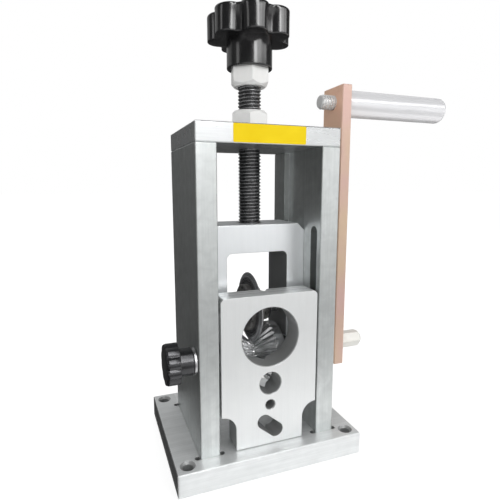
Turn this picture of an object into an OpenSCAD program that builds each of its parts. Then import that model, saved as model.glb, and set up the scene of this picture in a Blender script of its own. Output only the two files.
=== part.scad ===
// Hand-cranked wire stripping machine for the bench, in millimetres.
// +X is to the right, +Y to the back and +Z up. The origin is the middle of the base plate's underside.
// The pressure screw, the knife and the feed roller share one plane, y = mech_y.

/* [Base plate] */
// Width of the base plate
base_w = 100; // [98:1:120]
// Depth of the base plate
base_d = 80; // [76:1:100]
// Thickness of the base plate
base_t = 12; // [10:0.5:16]
// Distance from the base plate's edges to the middles of the mounting holes
hole_inset = 6; // [5.5:0.5:7]
// Diameter of the mounting holes
mount_hole_d = 5.5; // [4:0.5:6]
// Size of the countersinks over the mounting holes
mount_sink = 1.1; // [0.4:0.1:1.6]
// Bevel that breaks the edges of the milled plates
edge_bevel = 0.4; // [0.2:0.1:0.8]

/* [Side plates and top bar] */
// Clear distance between the side plates
frame_gap = 54; // [52:0.5:56]
// Thickness of each side plate
plate_t = 10; // [9:0.5:12]
// Depth of the side plates and the top bar
plate_d = 58; // [54:1:62]
// Distance from the base's front edge to the side plates
frame_set_back = 8.2; // [6:0.2:12]
// Depth of the seats milled into the base
seat_depth = 5; // [3:0.5:6]
// Diameter of the drilled reliefs at the seats' corners
relief_d = 3; // [2:0.5:4]
// Height of the finished frame above the bench
frame_h = 173.4; // [172:0.2:182]
// Thickness of the top bar
bar_t = 9.2; // [8:0.2:11]
// Depth of the grooves that the carriage runs in
groove_depth = 3; // [2:0.5:4]
// Depth of the slots that the guide keys run in
key_slot_depth = 5; // [4:0.5:6]
// Width of the guide key slots
key_slot_w = 6.8; // [6:0.2:8]
// Distance from the side plates' front faces to the middle of the key slots
key_set_back = 7; // [6:0.2:8]

/* [Drive shaft and crank] */
// Height of the drive shaft above the bench
shaft_z = 50; // [49:0.5:52]
// Distance from the side plates' front faces to the shaft, knife and screw
mech_set_back = 30.5; // [30:0.1:32]
// Diameter of the drive shaft
shaft_d = 12; // [10:0.5:13]
// Width across the flats of the shaft's hexagonal end
hex_af = 9; // [8:0.5:9.5]
// Length of the hexagonal end
hex_len = 23; // [20:1:40]
// Outside diameter of the shaft bushes
bush_d = 18; // [16:0.5:19]
// Radial running clearance of shafts and pins
run_clear = 0.04; // [0.02:0.01:0.08]
// Clearance between the base plate's edge and the crank arm
arm_clear = 0.5; // [0.5:0.5:8]
// Thickness of the crank arm
arm_t = 6; // [5:0.5:8]
// Width of the crank arm
arm_w = 20; // [18:1:26]
// Distance from the drive shaft to the handle
crank_throw = 141.5; // [90:0.5:160]
// Length of the crank arm below the drive shaft
arm_foot = 11; // [9:0.5:14]
// Length of the crank arm above the handle bolt
arm_head = 8.5; // [7:0.5:12]
// Diameter of the handle sleeve
handle_d = 15; // [14.5:0.5:24]
// Length of the handle sleeve
handle_len = 70; // [50:0.5:100]
// Diameter of the handle bolt
handle_bolt_d = 8; // [6:0.5:9]
// Length of the handle bolt that stands out behind the arm
bolt_stub = 8.6; // [3:0.1:10]

/* [Feed roller] */
// Outside diameter of the feed roller
roller_d = 34; // [30:0.5:35]
// Diameter at the bottom of the V groove
root_d = 15.4; // [15:0.1:17]
// Width of the V groove
v_width = 20; // [18:0.5:24]
// Diameter of the collars beside the roller
collar_d = 22; // [18:0.5:22]
// Number of teeth on each side of the V groove
teeth = 32; // [18:1:34]
// Depth of the tooth gaps at the outside of the drum
tooth_depth = 1; // [0.6:0.1:1.2]
// Angle between the two sides of a tooth gap, in degrees
tooth_angle = 96; // [60:2:100]

/* [Knife] */
// Diameter of the round knife
knife_d = 39; // [34:0.5:40]
// Thickness of the knife
knife_t = 2; // [1.5:0.1:3]
// Width of the ground bevel at the knife's edge
grind_w = 3; // [2:0.5:5]
// Gap between the knife's edge and the bottom of the V groove
nip_gap = 0.3; // [0.3:0.1:1]
// Diameter of the knife's flanges
flange_d = 26; // [24:0.5:28]
// Thickness of each flange's disc
flange_t = 3; // [2.5:0.1:4]
// Diameter of the boss on each flange
boss_d = 16; // [15:0.5:17]
// Length of the boss on each flange
boss_len = 5; // [3:0.5:6]
// Diameter of the knife's axle
axle_d = 8; // [6:0.5:9]
// Outside diameter of the bronze bush in the knife's hub
hub_bush_d = 12; // [11:0.5:12.5]

/* [Carriage] */
// Thickness of the carriage from front to back
carriage_t = 25; // [22:0.5:27]
// Height of the carriage
carriage_h = 63.2; // [61:0.2:67]
// Height of the bridge over the carriage's window
bridge_h = 14.8; // [14:0.2:18]
// Width of the window between the carriage's legs
window_w = 34; // [32:0.5:36]
// Radius of the window's upper corners
window_r = 3; // [1:0.5:5]
// Size of the chamfers on the carriage's upper corners
carriage_chamfer = 6.5; // [3:0.5:8]
// Height of the knife's axle above the carriage's lower end
axle_rise = 15.5; // [15:0.1:16]
// Clearance of sliding pieces on each side
slide_clear = 0.3; // [0.2:0.05:0.6]

/* [Pressure screw] */
// Diameter of the pressure screw
screw_d = 12; // [11:0.5:13]
// Distance from the lock nut to the jam nut with the knife down
nut_gap = 12; // [6:0.1:30]
// Diameter of the screw's journal in the carriage
journal_d = 8; // [7:0.5:9]
// Depth of the pocket in the carriage's top
pocket_depth = 4; // [3:0.5:5]
// Thickness of the washers at the screw's foot
washer_t = 1.5; // [1:0.1:2]
// Depth of the recess for the end washer, from below
recess_depth = 5; // [4.5:0.1:6]
// Width across the flats of the nuts
nut_af = 18; // [17:0.5:21]
// Height of the lock nut on the top bar
lock_nut_h = 10; // [6:0.5:11]
// Height of the jam nut under the star knob
jam_nut_h = 8.8; // [6:0.2:11]
// Length of the screw that stands out above the star knob
screw_proud = 6.2; // [0:0.1:10]
// Diameter over the lobes of the star knob
knob_d = 43.6; // [38:0.2:56]
// Depth of the valleys between the lobes
knob_valley = 6.2; // [2:0.2:7]
// Number of lobes on the star knob
knob_lobes = 7; // [5:1:8]
// Height of the star knob's head
knob_head_h = 13.3; // [9:0.1:16]
// Diameter of the star knob's hub
knob_hub_d = 23.6; // [22:0.2:26]
// Height of the star knob's hub
knob_hub_h = 13.5; // [8:0.5:16]

/* [Guide plate] */
// Width of the guide plate
guide_w = 52; // [49:0.5:52]
// Height of the guide plate
guide_h = 79.6; // [78:0.2:84]
// Thickness of the guide plate
guide_t = 12; // [11:0.2:12.4]
// Diameter of the large cable hole
big_hole_d = 30.6; // [26:0.2:32]
// Height of the large hole's middle above the plate's lower edge
big_hole_z = 57.8; // [57.4:0.2:59.4]
// Diameter of the medium cable hole
mid_hole_d = 11.6; // [8:0.2:12]
// Height of the medium hole's middle above the plate's lower edge
mid_hole_z = 33.2; // [32.6:0.2:34.4]
// Diameter of the small cable hole
small_hole_d = 5; // [3:0.5:6]
// Height of the small hole's middle above the plate's lower edge
small_hole_z = 21.6; // [21:0.1:22.2]
// Width of the slanted slot for flat cable
flat_slot_w = 7.8; // [6:0.2:8]
// Distance between the middles of the slanted slot's round ends
flat_slot_run = 8.4; // [6:0.2:9]
// Tilt of the slanted slot, in degrees below the horizontal
flat_slot_tilt = 40; // [0:5:45]
// Height of the slanted slot's middle above the plate's lower edge
flat_slot_z = 9.9; // [9.6:0.1:10.2]
// Width of the notches at the lower corners
notch_w = 7.6; // [5:0.2:9]
// Height of the notches at the lower corners
notch_h = 19; // [14:0.5:24]
// Radius of the plate's upper corners
guide_corner_r = 2.5; // [1:0.5:4]
// Width of the knife relief down the plate's back
knife_relief_w = 5; // [4.5:0.5:7]
// Depth of the knife relief down the plate's back
knife_relief_depth = 4; // [2.5:0.5:5]
// Upward travel of the guide plate
guide_travel = 40; // [20:1:42]
// Height of the guide keys
key_h = 17; // [12:0.5:18]
// Depth that the guide keys sit in the guide plate's edges
key_seat = 2; // [1:0.5:3]

/* [Lock knob] */
// Height of the lock knob above the bench
lock_z = 60.5; // [59:0.5:61]
// Diameter of the lock knob's screw
lock_screw_d = 8; // [5:0.5:8]
// Diameter of the lock knob's fluted head
lock_head_d = 20.4; // [16:0.2:22]
// Thickness of the lock knob's head
lock_head_t = 7; // [6:0.5:10]
// Diameter of the lock knob's hub
lock_hub_d = 13.5; // [11:0.5:15]
// Length of the lock knob's hub
lock_hub_len = 6.8; // [5:0.2:12]
// Thickness of the ring on the lock knob's screw, behind the hub
lock_ring_t = 1.6; // [1:0.2:3]
// Number of flutes round the lock knob's head
lock_flutes = 10; // [8:1:20]

/* [Hidden] */
$fn = 96;
// Overshoot that lets cuts run clear of a face
eps = 1;
// Gap between pieces that move apart and rest near each other
rest_gap = 0.3;
// Play along the axes of shafts and of the pressure screw
end_play = 0.3;

// Places in the frame
frame_y = -base_d / 2 + frame_set_back;
frame_mid_y = frame_y + plate_d / 2;
mech_y = frame_y + mech_set_back;
inner_x = frame_gap / 2;
outer_x = inner_x + plate_t;
bar_z = frame_h - bar_t;
seat_z = base_t - seat_depth;
plate_mid_x = inner_x + plate_t / 2;

// Screws that hold the frame together
base_screw_d = 6;
base_screw_sink = 0.4;
// Length of each base screw inside the side plate
base_screw_grip = 13.4;
base_screw_len = seat_z + base_screw_grip - base_screw_sink;
base_screw_head = 11.5;
bar_screw_d = 5;
bar_screw_sink = 0.3;
// Length of each bar screw inside the side plate
bar_screw_grip = 11.1;
bar_screw_len = bar_t - bar_screw_sink + bar_screw_grip;
bar_screw_head = 10;
frame_screw_inset = 9;
// Places of the two screws along each side plate
frame_screw_y = [frame_y + frame_screw_inset, frame_y + plate_d - frame_screw_inset];

// Knife, carriage and roller
root_r = root_d / 2;
knife_r = knife_d / 2;
knife_z = shaft_z + root_r + nip_gap + knife_r;
knife_edge_t = 0.3;
hub_half = knife_t / 2 + flange_t + boss_len;
axle_clip_t = 0.8;
clip_groove_depth = 0.5;
clip_rim = 5;
flange_screw_d = 2.5;
flange_screw_head = 3.8;
flange_screw_r = (boss_d + flange_d) / 4;
flange_screw_count = 3;
carriage_z = knife_z - axle_rise;
carriage_top = carriage_z + carriage_h;
window_top = carriage_top - bridge_h;
carriage_half = inner_x + groove_depth - slide_clear;
axle_half = carriage_half - slide_clear;
leg_mid_x = (window_w / 2 + carriage_half) / 2;
set_screw_d = 4;
set_screw_len = 6;
// Length of the side plates' grooves below the carriage
groove_run_out = 2;
groove_z = carriage_z - groove_run_out;
// Gap between the roller's drum and the carriage's legs
drum_leg_gap = 0.5;
drum_half = window_w / 2 - drum_leg_gap;
collar_end_x = inner_x - end_play;
v_half = v_width / 2;
v_flat_half = 0.4;
drum_bevel = 1;
tooth_root_depth = 0.45;
// Width and height of the key between roller and shaft, and its length from the drum's left face
feed_key_w = 4;
feed_key_len = drum_half - v_half / 2;

// Pressure screw
shoulder_z = carriage_top - pocket_depth + washer_t + end_play;
recess_z = window_top + recess_depth;
end_washer_z = recess_z - end_play - washer_t;
end_clip_t = 1;
end_clip_z = end_washer_z - end_clip_t;
journal_end_z = end_clip_z - end_clip_t;
lock_nut_z = frame_h + rest_gap;
knob_hub_z = lock_nut_z + lock_nut_h + nut_gap + jam_nut_h;
knob_head_z = knob_hub_z + knob_hub_h;
knob_top = knob_head_z + knob_head_h;
screw_top = knob_top + screw_proud;
pocket_d = screw_d + 1.6;
washer_d = pocket_d - 0.4;
// Width of the end washer's rim round the journal, and its clearance in the recess
end_washer_rim = 4;
recess_clear = 1;
end_washer_d = journal_d + 2 * end_washer_rim;
recess_d = end_washer_d + 2 * recess_clear;
// Wall of the knob's hub round the insert, and the insert's length
insert_wall = 3;
insert_d = knob_hub_d - 2 * insert_wall;
insert_len = knob_hub_h + knob_head_h / 2;
// Roundness of the valleys between the knob's lobes
valley_round = 0.04;
// Diameter of the nuts' chamfered faces as a share of the width across their flats
nut_face = 0.9;
// Turns that bring the knob's lobes and the nuts' corners round as they stand
knob_turn = -101.1;
jam_nut_turn = 18.4;
lock_nut_turn = 11.3;

// Guide plate and its keys
guide_z = base_t + rest_gap;
guide_back_y = frame_y + guide_t;
guide_half = guide_w / 2;
key_y = frame_y + key_set_back;
key_w = key_slot_w - 2 * slide_clear;
key_tip_x = inner_x + key_slot_depth - slide_clear;
key_slot_web = 2.3;
key_slot_z = lock_z + lock_screw_d / 2 + key_slot_web;
key_z = key_slot_z + rest_gap;
key_slot_top = key_z + key_h + guide_travel + rest_gap;
key_screw_d = 3;
key_screw_head = 5.4;
// Length of each key screw inside the guide plate
key_screw_grip = 5.3;
key_screw_len = key_tip_x - guide_half + key_screw_grip;
// Wall of the lock knob's head over the end of its screw
lock_end_wall = 3;

// Drive shaft and crank
// The left bush sits in a blind bore that leaves this wall
blind_wall = 2;
blind_bush_len = plate_t - blind_wall;
shaft_left_x = end_play - inner_x - blind_bush_len;
arm_x = base_w / 2 + arm_clear;
hex_end_x = arm_x + hex_len;
handle_x = arm_x + arm_t + end_play;
handle_z = shaft_z + crank_throw;
handle_bore = handle_bolt_d + 2 * run_clear;
bolt_head_d = handle_d - 3;
bolt_head_t = 5;
bolt_head_x = handle_x + handle_len - bolt_head_t;
arm_screw_d = 4;

// Rectangle with its four corners cut off
module bevel_rect(w, h, c) {
  polygon([[c, 0], [w - c, 0], [w, c], [w, h - c], [w - c, h], [c, h], [0, h - c], [0, c]]);
}

// Block with all twelve edges bevelled
module bevel_box(size, c) {
  intersection() {
    linear_extrude(size.z) bevel_rect(size.x, size.y, c);
    translate([0, size.y, 0]) rotate([90, 0, 0]) linear_extrude(size.y) bevel_rect(size.x, size.z, c);
    rotate([90, 0, 90]) linear_extrude(size.x) bevel_rect(size.y, size.z, c);
  }
}

// Places its children on an axis along X at the given place, with local Z turned to +X
module along_x(x, y, z) {
  translate([x, y, z]) rotate([0, 90, 0]) children();
}

// Round hole along Z with a small chamfer at its upper mouth
module chamfered_hole(d, len, c) {
  translate([0, 0, -eps]) cylinder(h = len + 2 * eps, d = d);
  translate([0, 0, len - c]) cylinder(h = c + eps, d1 = d, d2 = d + 2 * (c + eps));
}

// Countersunk screw pointing down, with the face of its head at z = 0
module sunk_screw(d, head_d, len) {
  head_h = (head_d - d) / 2;
  socket_af = d * 0.6;
  difference() {
    union() {
      translate([0, 0, -head_h]) cylinder(h = head_h, d1 = d, d2 = head_d);
      translate([0, 0, -len]) cylinder(h = len - head_h / 2, d = d);
    }
    translate([0, 0, -head_h]) cylinder(h = head_h + eps, d = socket_af, $fn = 6);
  }
}

// Space for a countersunk screw, sunk below the surface at z = 0
module sunk_hole(d, head_d, len, sink) {
  head_h = (head_d - d) / 2;
  translate([0, 0, -sink - len]) cylinder(h = len + sink, d = d);
  translate([0, 0, -sink - head_h]) cylinder(h = head_h, d1 = d, d2 = head_d);
  translate([0, 0, -sink]) cylinder(h = sink + eps, d = head_d);
}

// Socket set screw standing on z = 0, with its socket underneath
module set_screw(d, len) {
  difference() {
    cylinder(h = len, d = d);
    translate([0, 0, -eps]) cylinder(h = d * 0.5 + eps, d = d * 0.5, $fn = 6);
  }
}

// Open retaining clip round an axis, standing on z = 0
module clip_ring(bore_d, ring_d, t) {
  mouth = 50;
  difference() {
    cylinder(h = t, d = ring_d);
    translate([0, 0, -eps]) cylinder(h = t + 2 * eps, d = bore_d);
    translate([0, 0, -eps]) linear_extrude(t + 2 * eps)
      polygon([[0, 0], [ring_d, -ring_d * tan(mouth / 2)], [ring_d, ring_d * tan(mouth / 2)]]);
  }
}

// Hexagonal nut standing on z = 0, with its upper face chamfered at 45 degrees
module hex_nut(af, h, bore_d) {
  corner_r = af / 2 / cos(30);
  face_r = nut_face * af / 2;
  drop = corner_r + eps - face_r;
  difference() {
    intersection() {
      cylinder(h = h, r = corner_r, $fn = 6);
      rotate_extrude()
        polygon([[0, 0], [corner_r + eps, 0], [corner_r + eps, h - drop], [face_r, h], [0, h]]);
    }
    translate([0, 0, -eps]) cylinder(h = h + 2 * eps, d = bore_d);
  }
}

// Turned piece along Z from a list of [distance along, radius] points
module turned(points) {
  rotate_extrude()
    polygon(concat([[0, points[0][0]]], [for (p = points) [p[1], p[0]]],
      [[0, points[len(points) - 1][0]]]));
}

module base_plate() {
  color("silver") difference() {
    translate([-base_w / 2, -base_d / 2, 0]) bevel_box([base_w, base_d, base_t], edge_bevel);
    for (sx = [-1, 1]) {
      translate([sx * plate_mid_x - plate_t / 2, frame_y, seat_z]) cube([plate_t, plate_d, base_t]);
      for (ex = [-1, 1], y = [frame_y + relief_d / 2, frame_y + plate_d - relief_d / 2])
        translate([sx * plate_mid_x + ex * (plate_t / 2 + relief_d * 0.4), y, seat_z])
          cylinder(h = base_t, d = relief_d);
      for (sy = [-1, 1])
        translate([sx * (base_w / 2 - hole_inset), sy * (base_d / 2 - hole_inset), 0])
          chamfered_hole(mount_hole_d, base_t, mount_sink);
      for (y = frame_screw_y)
        translate([sx * plate_mid_x, y, 0]) rotate([180, 0, 0])
          sunk_hole(base_screw_d, base_screw_head, base_screw_len, base_screw_sink);
    }
  }
}

// Right-hand side plate with a bore of the given depth for the shaft bush
module plain_side_plate(bore_len) {
  groove_t = carriage_t + 2 * slide_clear;
  difference() {
    translate([inner_x, frame_y, seat_z])
      bevel_box([plate_t, plate_d, bar_z - seat_z], edge_bevel);
    translate([inner_x - eps, mech_y - groove_t / 2, groove_z])
      cube([groove_depth + eps, groove_t, frame_h]);
    along_x(inner_x - eps, key_y, key_slot_z + key_slot_w / 2)
      cylinder(h = key_slot_depth + eps, d = key_slot_w);
    along_x(inner_x - eps, key_y, key_slot_top - key_slot_w / 2)
      cylinder(h = key_slot_depth + eps, d = key_slot_w);
    translate([inner_x - eps, key_y - key_slot_w / 2, key_slot_z + key_slot_w / 2])
      cube([key_slot_depth + eps, key_slot_w, key_slot_top - key_slot_z - key_slot_w]);
    along_x(inner_x - eps, mech_y, shaft_z) cylinder(h = bore_len + eps, d = bush_d);
    for (y = frame_screw_y) {
      translate([plate_mid_x, y, 0]) cylinder(h = base_screw_len + base_screw_sink, d = base_screw_d);
      translate([plate_mid_x, y, frame_h - bar_screw_len - bar_screw_sink])
        cylinder(h = bar_screw_len, d = bar_screw_d);
    }
  }
}

module side_plate_right() {
  color("silver") plain_side_plate(plate_t + eps);
}

module side_plate_left() {
  color("silver") difference() {
    mirror([1, 0, 0]) plain_side_plate(blind_bush_len);
    along_x(-outer_x - eps, key_y, lock_z)
      cylinder(h = plate_t + 2 * eps, d = lock_screw_d + 2 * run_clear);
  }
}

module top_bar() {
  color("silver") difference() {
    translate([-outer_x, frame_y, bar_z]) bevel_box([2 * outer_x, plate_d, bar_t], edge_bevel);
    translate([0, mech_y, bar_z - eps]) cylinder(h = bar_t + 2 * eps, d = screw_d + 2 * run_clear);
    for (sx = [-1, 1], y = frame_screw_y)
      translate([sx * plate_mid_x, y, frame_h])
        sunk_hole(bar_screw_d, bar_screw_head, bar_screw_len, bar_screw_sink);
  }
}

module base_screws() {
  color("dimgray") for (sx = [-1, 1], y = frame_screw_y)
    translate([sx * plate_mid_x, y, base_screw_sink]) rotate([180, 0, 0])
      sunk_screw(base_screw_d, base_screw_head, base_screw_len);
}

module bar_screws() {
  color("dimgray") for (sx = [-1, 1], y = frame_screw_y)
    translate([sx * plate_mid_x, y, frame_h - bar_screw_sink])
      sunk_screw(bar_screw_d, bar_screw_head, bar_screw_len);
}

// Bush of the given length in the right side plate, flush with its inner face
module shaft_bush(len) {
  difference() {
    along_x(inner_x, mech_y, shaft_z) cylinder(h = len, d = bush_d);
    along_x(0, mech_y, shaft_z) cylinder(h = 2 * outer_x, d = shaft_d + 2 * run_clear);
  }
}

module shaft_bush_right() {
  color("peru") shaft_bush(plate_t);
}

module shaft_bush_left() {
  color("peru") mirror([1, 0, 0]) shaft_bush(blind_bush_len);
}

// Front view of the guide plate, with its lower edge on y = 0
module guide_outline() {
  difference() {
    union() {
      translate([-guide_half, 0]) square([guide_w, guide_h - guide_corner_r]);
      translate([-guide_half + guide_corner_r, 0]) square([guide_w - 2 * guide_corner_r, guide_h]);
      for (sx = [-1, 1])
        translate([sx * (guide_half - guide_corner_r), guide_h - guide_corner_r])
          circle(r = guide_corner_r);
    }
    for (sx = [-1, 1]) {
      translate([sx * guide_half, notch_h - notch_w]) circle(r = notch_w);
      translate([sx * guide_half - notch_w, -eps]) square([2 * notch_w, notch_h - notch_w + eps]);
    }
    for (end = [-1, 1])
      translate([0, flat_slot_z]) rotate(-flat_slot_tilt)
        translate([end * flat_slot_run / 2, 0]) circle(d = flat_slot_w);
    translate([0, flat_slot_z]) rotate(-flat_slot_tilt) square([flat_slot_run, flat_slot_w], center = true);
  }
}

module guide_plate() {
  color("gainsboro") difference() {
    translate([0, guide_back_y, guide_z]) rotate([90, 0, 0]) linear_extrude(guide_t) guide_outline();
    for (hole = [[big_hole_d, big_hole_z], [mid_hole_d, mid_hole_z], [small_hole_d, small_hole_z]])
      translate([0, guide_back_y, guide_z + hole[1]]) rotate([90, 0, 0])
        chamfered_hole(hole[0], guide_t, edge_bevel);
    translate([0, guide_back_y, guide_z - eps]) linear_extrude(guide_h + 2 * eps)
      polygon([[-knife_relief_w / 2, 0], [0, -knife_relief_depth], [knife_relief_w / 2, 0],
        [knife_relief_w / 2, eps], [-knife_relief_w / 2, eps]]);
    for (sx = [0, 1]) mirror([sx, 0, 0]) {
      guide_key_body();
      along_x(key_tip_x - key_screw_len, key_y, key_z + key_h / 2)
        cylinder(h = key_screw_len, d = key_screw_d);
    }
  }
}

// Round-ended key on the right edge of the guide plate
module guide_key_body() {
  for (z = [key_z + key_w / 2, key_z + key_h - key_w / 2])
    along_x(guide_half - key_seat, key_y, z) cylinder(h = key_tip_x - guide_half + key_seat, d = key_w);
  translate([guide_half - key_seat, key_y - key_w / 2, key_z + key_w / 2])
    cube([key_tip_x - guide_half + key_seat, key_w, key_h - key_w]);
}

module guide_keys() {
  color("darkgray") for (sx = [0, 1]) mirror([sx, 0, 0]) difference() {
    guide_key_body();
    along_x(key_tip_x, key_y, key_z + key_h / 2)
      sunk_hole(key_screw_d, key_screw_head, key_screw_len, 0);
  }
}

module key_screws() {
  color("dimgray") for (sx = [0, 1]) mirror([sx, 0, 0])
    along_x(key_tip_x, key_y, key_z + key_h / 2)
      sunk_screw(key_screw_d, key_screw_head, key_screw_len);
}

module lock_knob() {
  flute_d = lock_head_d * PI / lock_flutes * 0.5;
  hub_z = rest_gap + lock_ring_t;
  head_z = hub_z + lock_hub_len;
  rim = 1.2;
  color([0.1, 0.1, 0.1]) translate([-outer_x, key_y, lock_z]) rotate([0, -90, 0]) difference() {
    turned([[hub_z, lock_hub_d / 2], [head_z, lock_hub_d / 2], [head_z, lock_head_d / 2 - rim / 2],
      [head_z + rim / 2, lock_head_d / 2], [head_z + lock_head_t - rim, lock_head_d / 2],
      [head_z + lock_head_t, lock_head_d / 2 - rim]]);
    for (k = [0 : lock_flutes - 1])
      rotate(k * 360 / lock_flutes) translate([lock_head_d / 2 + flute_d * 0.2, 0, head_z - eps])
        cylinder(h = lock_head_t + 2 * eps, d = flute_d);
    translate([0, 0, -eps]) cylinder(h = head_z + lock_head_t - lock_end_wall + eps, d = lock_screw_d);
  }
}

module lock_knob_screw() {
  tip_x = -guide_half - rest_gap;
  ring_x = -outer_x - rest_gap - lock_ring_t;
  end_x = ring_x - lock_hub_len - lock_head_t + lock_end_wall;
  tip_len = 1;
  ring_r = lock_hub_d / 2;
  color("darkgray") along_x(end_x, key_y, lock_z)
    turned([[0, lock_screw_d / 2], [ring_x - end_x, lock_screw_d / 2], [ring_x - end_x, ring_r - 0.3],
      [ring_x - end_x + 0.3, ring_r], [ring_x - end_x + lock_ring_t, ring_r],
      [ring_x - end_x + lock_ring_t, lock_screw_d / 2], [tip_x - end_x - tip_len, lock_screw_d / 2],
      [tip_x - end_x, lock_screw_d / 2 - tip_len]]);
}

// Front view of the carriage in its own place
module carriage_outline() {
  difference() {
    polygon([[-carriage_half, carriage_z], [carriage_half, carriage_z],
      [carriage_half, carriage_top - carriage_chamfer], [carriage_half - carriage_chamfer, carriage_top],
      [-carriage_half + carriage_chamfer, carriage_top], [-carriage_half, carriage_top - carriage_chamfer]]);
    translate([-window_w / 2, carriage_z - eps]) square([window_w, window_top - window_r - carriage_z + eps]);
    translate([-window_w / 2 + window_r, carriage_z])
      square([window_w - 2 * window_r, window_top - carriage_z]);
    for (sx = [-1, 1])
      translate([sx * (window_w / 2 - window_r), window_top - window_r]) circle(r = window_r);
  }
}

module carriage() {
  color("gainsboro") difference() {
    intersection() {
      translate([0, mech_y + carriage_t / 2, 0]) rotate([90, 0, 0])
        linear_extrude(carriage_t) carriage_outline();
      translate([-carriage_half, mech_y - carriage_t / 2, carriage_z])
        bevel_box([2 * carriage_half, carriage_t, carriage_h], edge_bevel);
    }
    translate([0, mech_y, window_top - eps]) cylinder(h = recess_depth + eps, d = recess_d);
    translate([0, mech_y, window_top]) cylinder(h = bridge_h + eps, d = journal_d + 2 * run_clear);
    translate([0, mech_y, carriage_top - pocket_depth]) cylinder(h = pocket_depth + eps, d = pocket_d);
    along_x(-carriage_half - eps, mech_y, knife_z) cylinder(h = 2 * carriage_half + 2 * eps, d = axle_d);
    for (sx = [-1, 1])
      translate([sx * leg_mid_x, mech_y, carriage_z - eps]) cylinder(h = axle_rise + eps, d = set_screw_d);
  }
}

module axle_set_screws() {
  color("dimgray") for (sx = [-1, 1])
    translate([sx * leg_mid_x, mech_y, knife_z - axle_d / 2 - set_screw_len])
      set_screw(set_screw_d, set_screw_len);
}

module thrust_washer() {
  color("peru") translate([0, mech_y, carriage_top - pocket_depth]) difference() {
    cylinder(h = washer_t, d = washer_d);
    translate([0, 0, -eps]) cylinder(h = washer_t + 2 * eps, d = journal_d + 2 * run_clear);
  }
}

module knife_axle() {
  groove_x = hub_half + end_play;
  r = axle_d / 2;
  groove_r = r - clip_groove_depth;
  bevel = 0.6;
  color("silver") along_x(0, mech_y, knife_z)
    turned([[-axle_half, r - bevel], [-axle_half + bevel, r], [-groove_x - axle_clip_t, r],
      [-groove_x - axle_clip_t, groove_r], [-groove_x, groove_r], [-groove_x, r], [groove_x, r],
      [groove_x, groove_r], [groove_x + axle_clip_t, groove_r], [groove_x + axle_clip_t, r],
      [axle_half - bevel, r], [axle_half, r - bevel]]);
}

module axle_clips() {
  color("dimgray") for (x = [-hub_half - end_play - axle_clip_t, hub_half + end_play])
    along_x(x, mech_y, knife_z) clip_ring(axle_d - 2 * clip_groove_depth, boss_d - 1, axle_clip_t);
}

// Places of the screws that clamp the knife between its flanges
module at_flange_screws() {
  for (k = [0 : flange_screw_count - 1])
    rotate(k * 360 / flange_screw_count) translate([flange_screw_r, 0, 0]) children();
}

module round_knife() {
  color("lightgray") along_x(0, mech_y, knife_z) difference() {
    turned([[-knife_t / 2, knife_r - grind_w], [-knife_edge_t / 2, knife_r],
      [knife_edge_t / 2, knife_r], [knife_t / 2, knife_r - grind_w]]);
    translate([0, 0, -knife_t]) cylinder(h = 2 * knife_t, d = hub_bush_d);
    at_flange_screws() translate([0, 0, -knife_t]) cylinder(h = 2 * knife_t, d = flange_screw_d);
  }
}

// Flange on the right of the knife, with local Z along +X
module flange_body() {
  z0 = knife_t / 2;
  rim = 0.5;
  difference() {
    turned([[z0, flange_d / 2], [z0 + flange_t - rim, flange_d / 2], [z0 + flange_t, flange_d / 2 - rim],
      [z0 + flange_t, boss_d / 2], [hub_half - rim / 2, boss_d / 2], [hub_half, boss_d / 2 - rim / 2]]);
    cylinder(h = hub_half + eps, d = hub_bush_d);
  }
}

module knife_flange_right() {
  color([0.15, 0.15, 0.15]) along_x(0, mech_y, knife_z) difference() {
    flange_body();
    at_flange_screws() cylinder(h = hub_half, d = flange_screw_d);
  }
}

module knife_flange_left() {
  color([0.15, 0.15, 0.15]) along_x(0, mech_y, knife_z) difference() {
    mirror([0, 0, 1]) flange_body();
    at_flange_screws() translate([0, 0, -knife_t / 2 - flange_t]) rotate([180, 0, 0])
      sunk_hole(flange_screw_d, flange_screw_head, 2 * flange_t + knife_t, 0);
  }
}

module flange_screws() {
  color("dimgray") along_x(0, mech_y, knife_z)
    at_flange_screws() translate([0, 0, -knife_t / 2 - flange_t]) rotate([180, 0, 0])
      sunk_screw(flange_screw_d, flange_screw_head, 2 * flange_t + knife_t);
}

module hub_bush() {
  color("peru") along_x(0, mech_y, knife_z) difference() {
    translate([0, 0, -hub_half]) cylinder(h = 2 * hub_half, d = hub_bush_d);
    translate([0, 0, -hub_half - eps]) cylinder(h = 2 * hub_half + 2 * eps, d = axle_d + 2 * run_clear);
  }
}

module drive_shaft() {
  r = shaft_d / 2;
  bevel = 0.8;
  hex_r = hex_af / 2 / cos(30);
  tip = 1.8;
  color("lightgray") difference() {
    union() {
      along_x(0, mech_y, shaft_z)
        turned([[shaft_left_x, r - bevel], [shaft_left_x + bevel, r], [arm_x - bevel / 2, r],
          [arm_x, r - bevel / 2]]);
      along_x(0, mech_y, shaft_z) intersection() {
        translate([0, 0, arm_x - eps]) rotate(30) cylinder(h = hex_len + eps, r = hex_r, $fn = 6);
        turned([[arm_x - eps, hex_r], [hex_end_x - tip, hex_r], [hex_end_x, hex_r - tip]]);
      }
    }
    feed_key_body(feed_key_len);
  }
}

// Cutter for one tooth gap on the right side of the V groove, with local Z along +X
module tooth_gap() {
  run = v_half - v_flat_half;
  rise = roller_d / 2 - root_r;
  side_len = sqrt(run * run + rise * rise);
  lean = atan2(rise, run);
  dip = atan2(tooth_depth - tooth_root_depth, side_len);
  height = tooth_depth + 1;
  half_w = height * tan(tooth_angle / 2);
  start = 0.2;
  translate([root_r, 0, v_flat_half]) rotate([0, lean - dip, 0])
    translate([-tooth_root_depth, 0, -start])
      linear_extrude(side_len + 3) polygon([[0, 0], [height, half_w], [height, -half_w]]);
}

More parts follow.
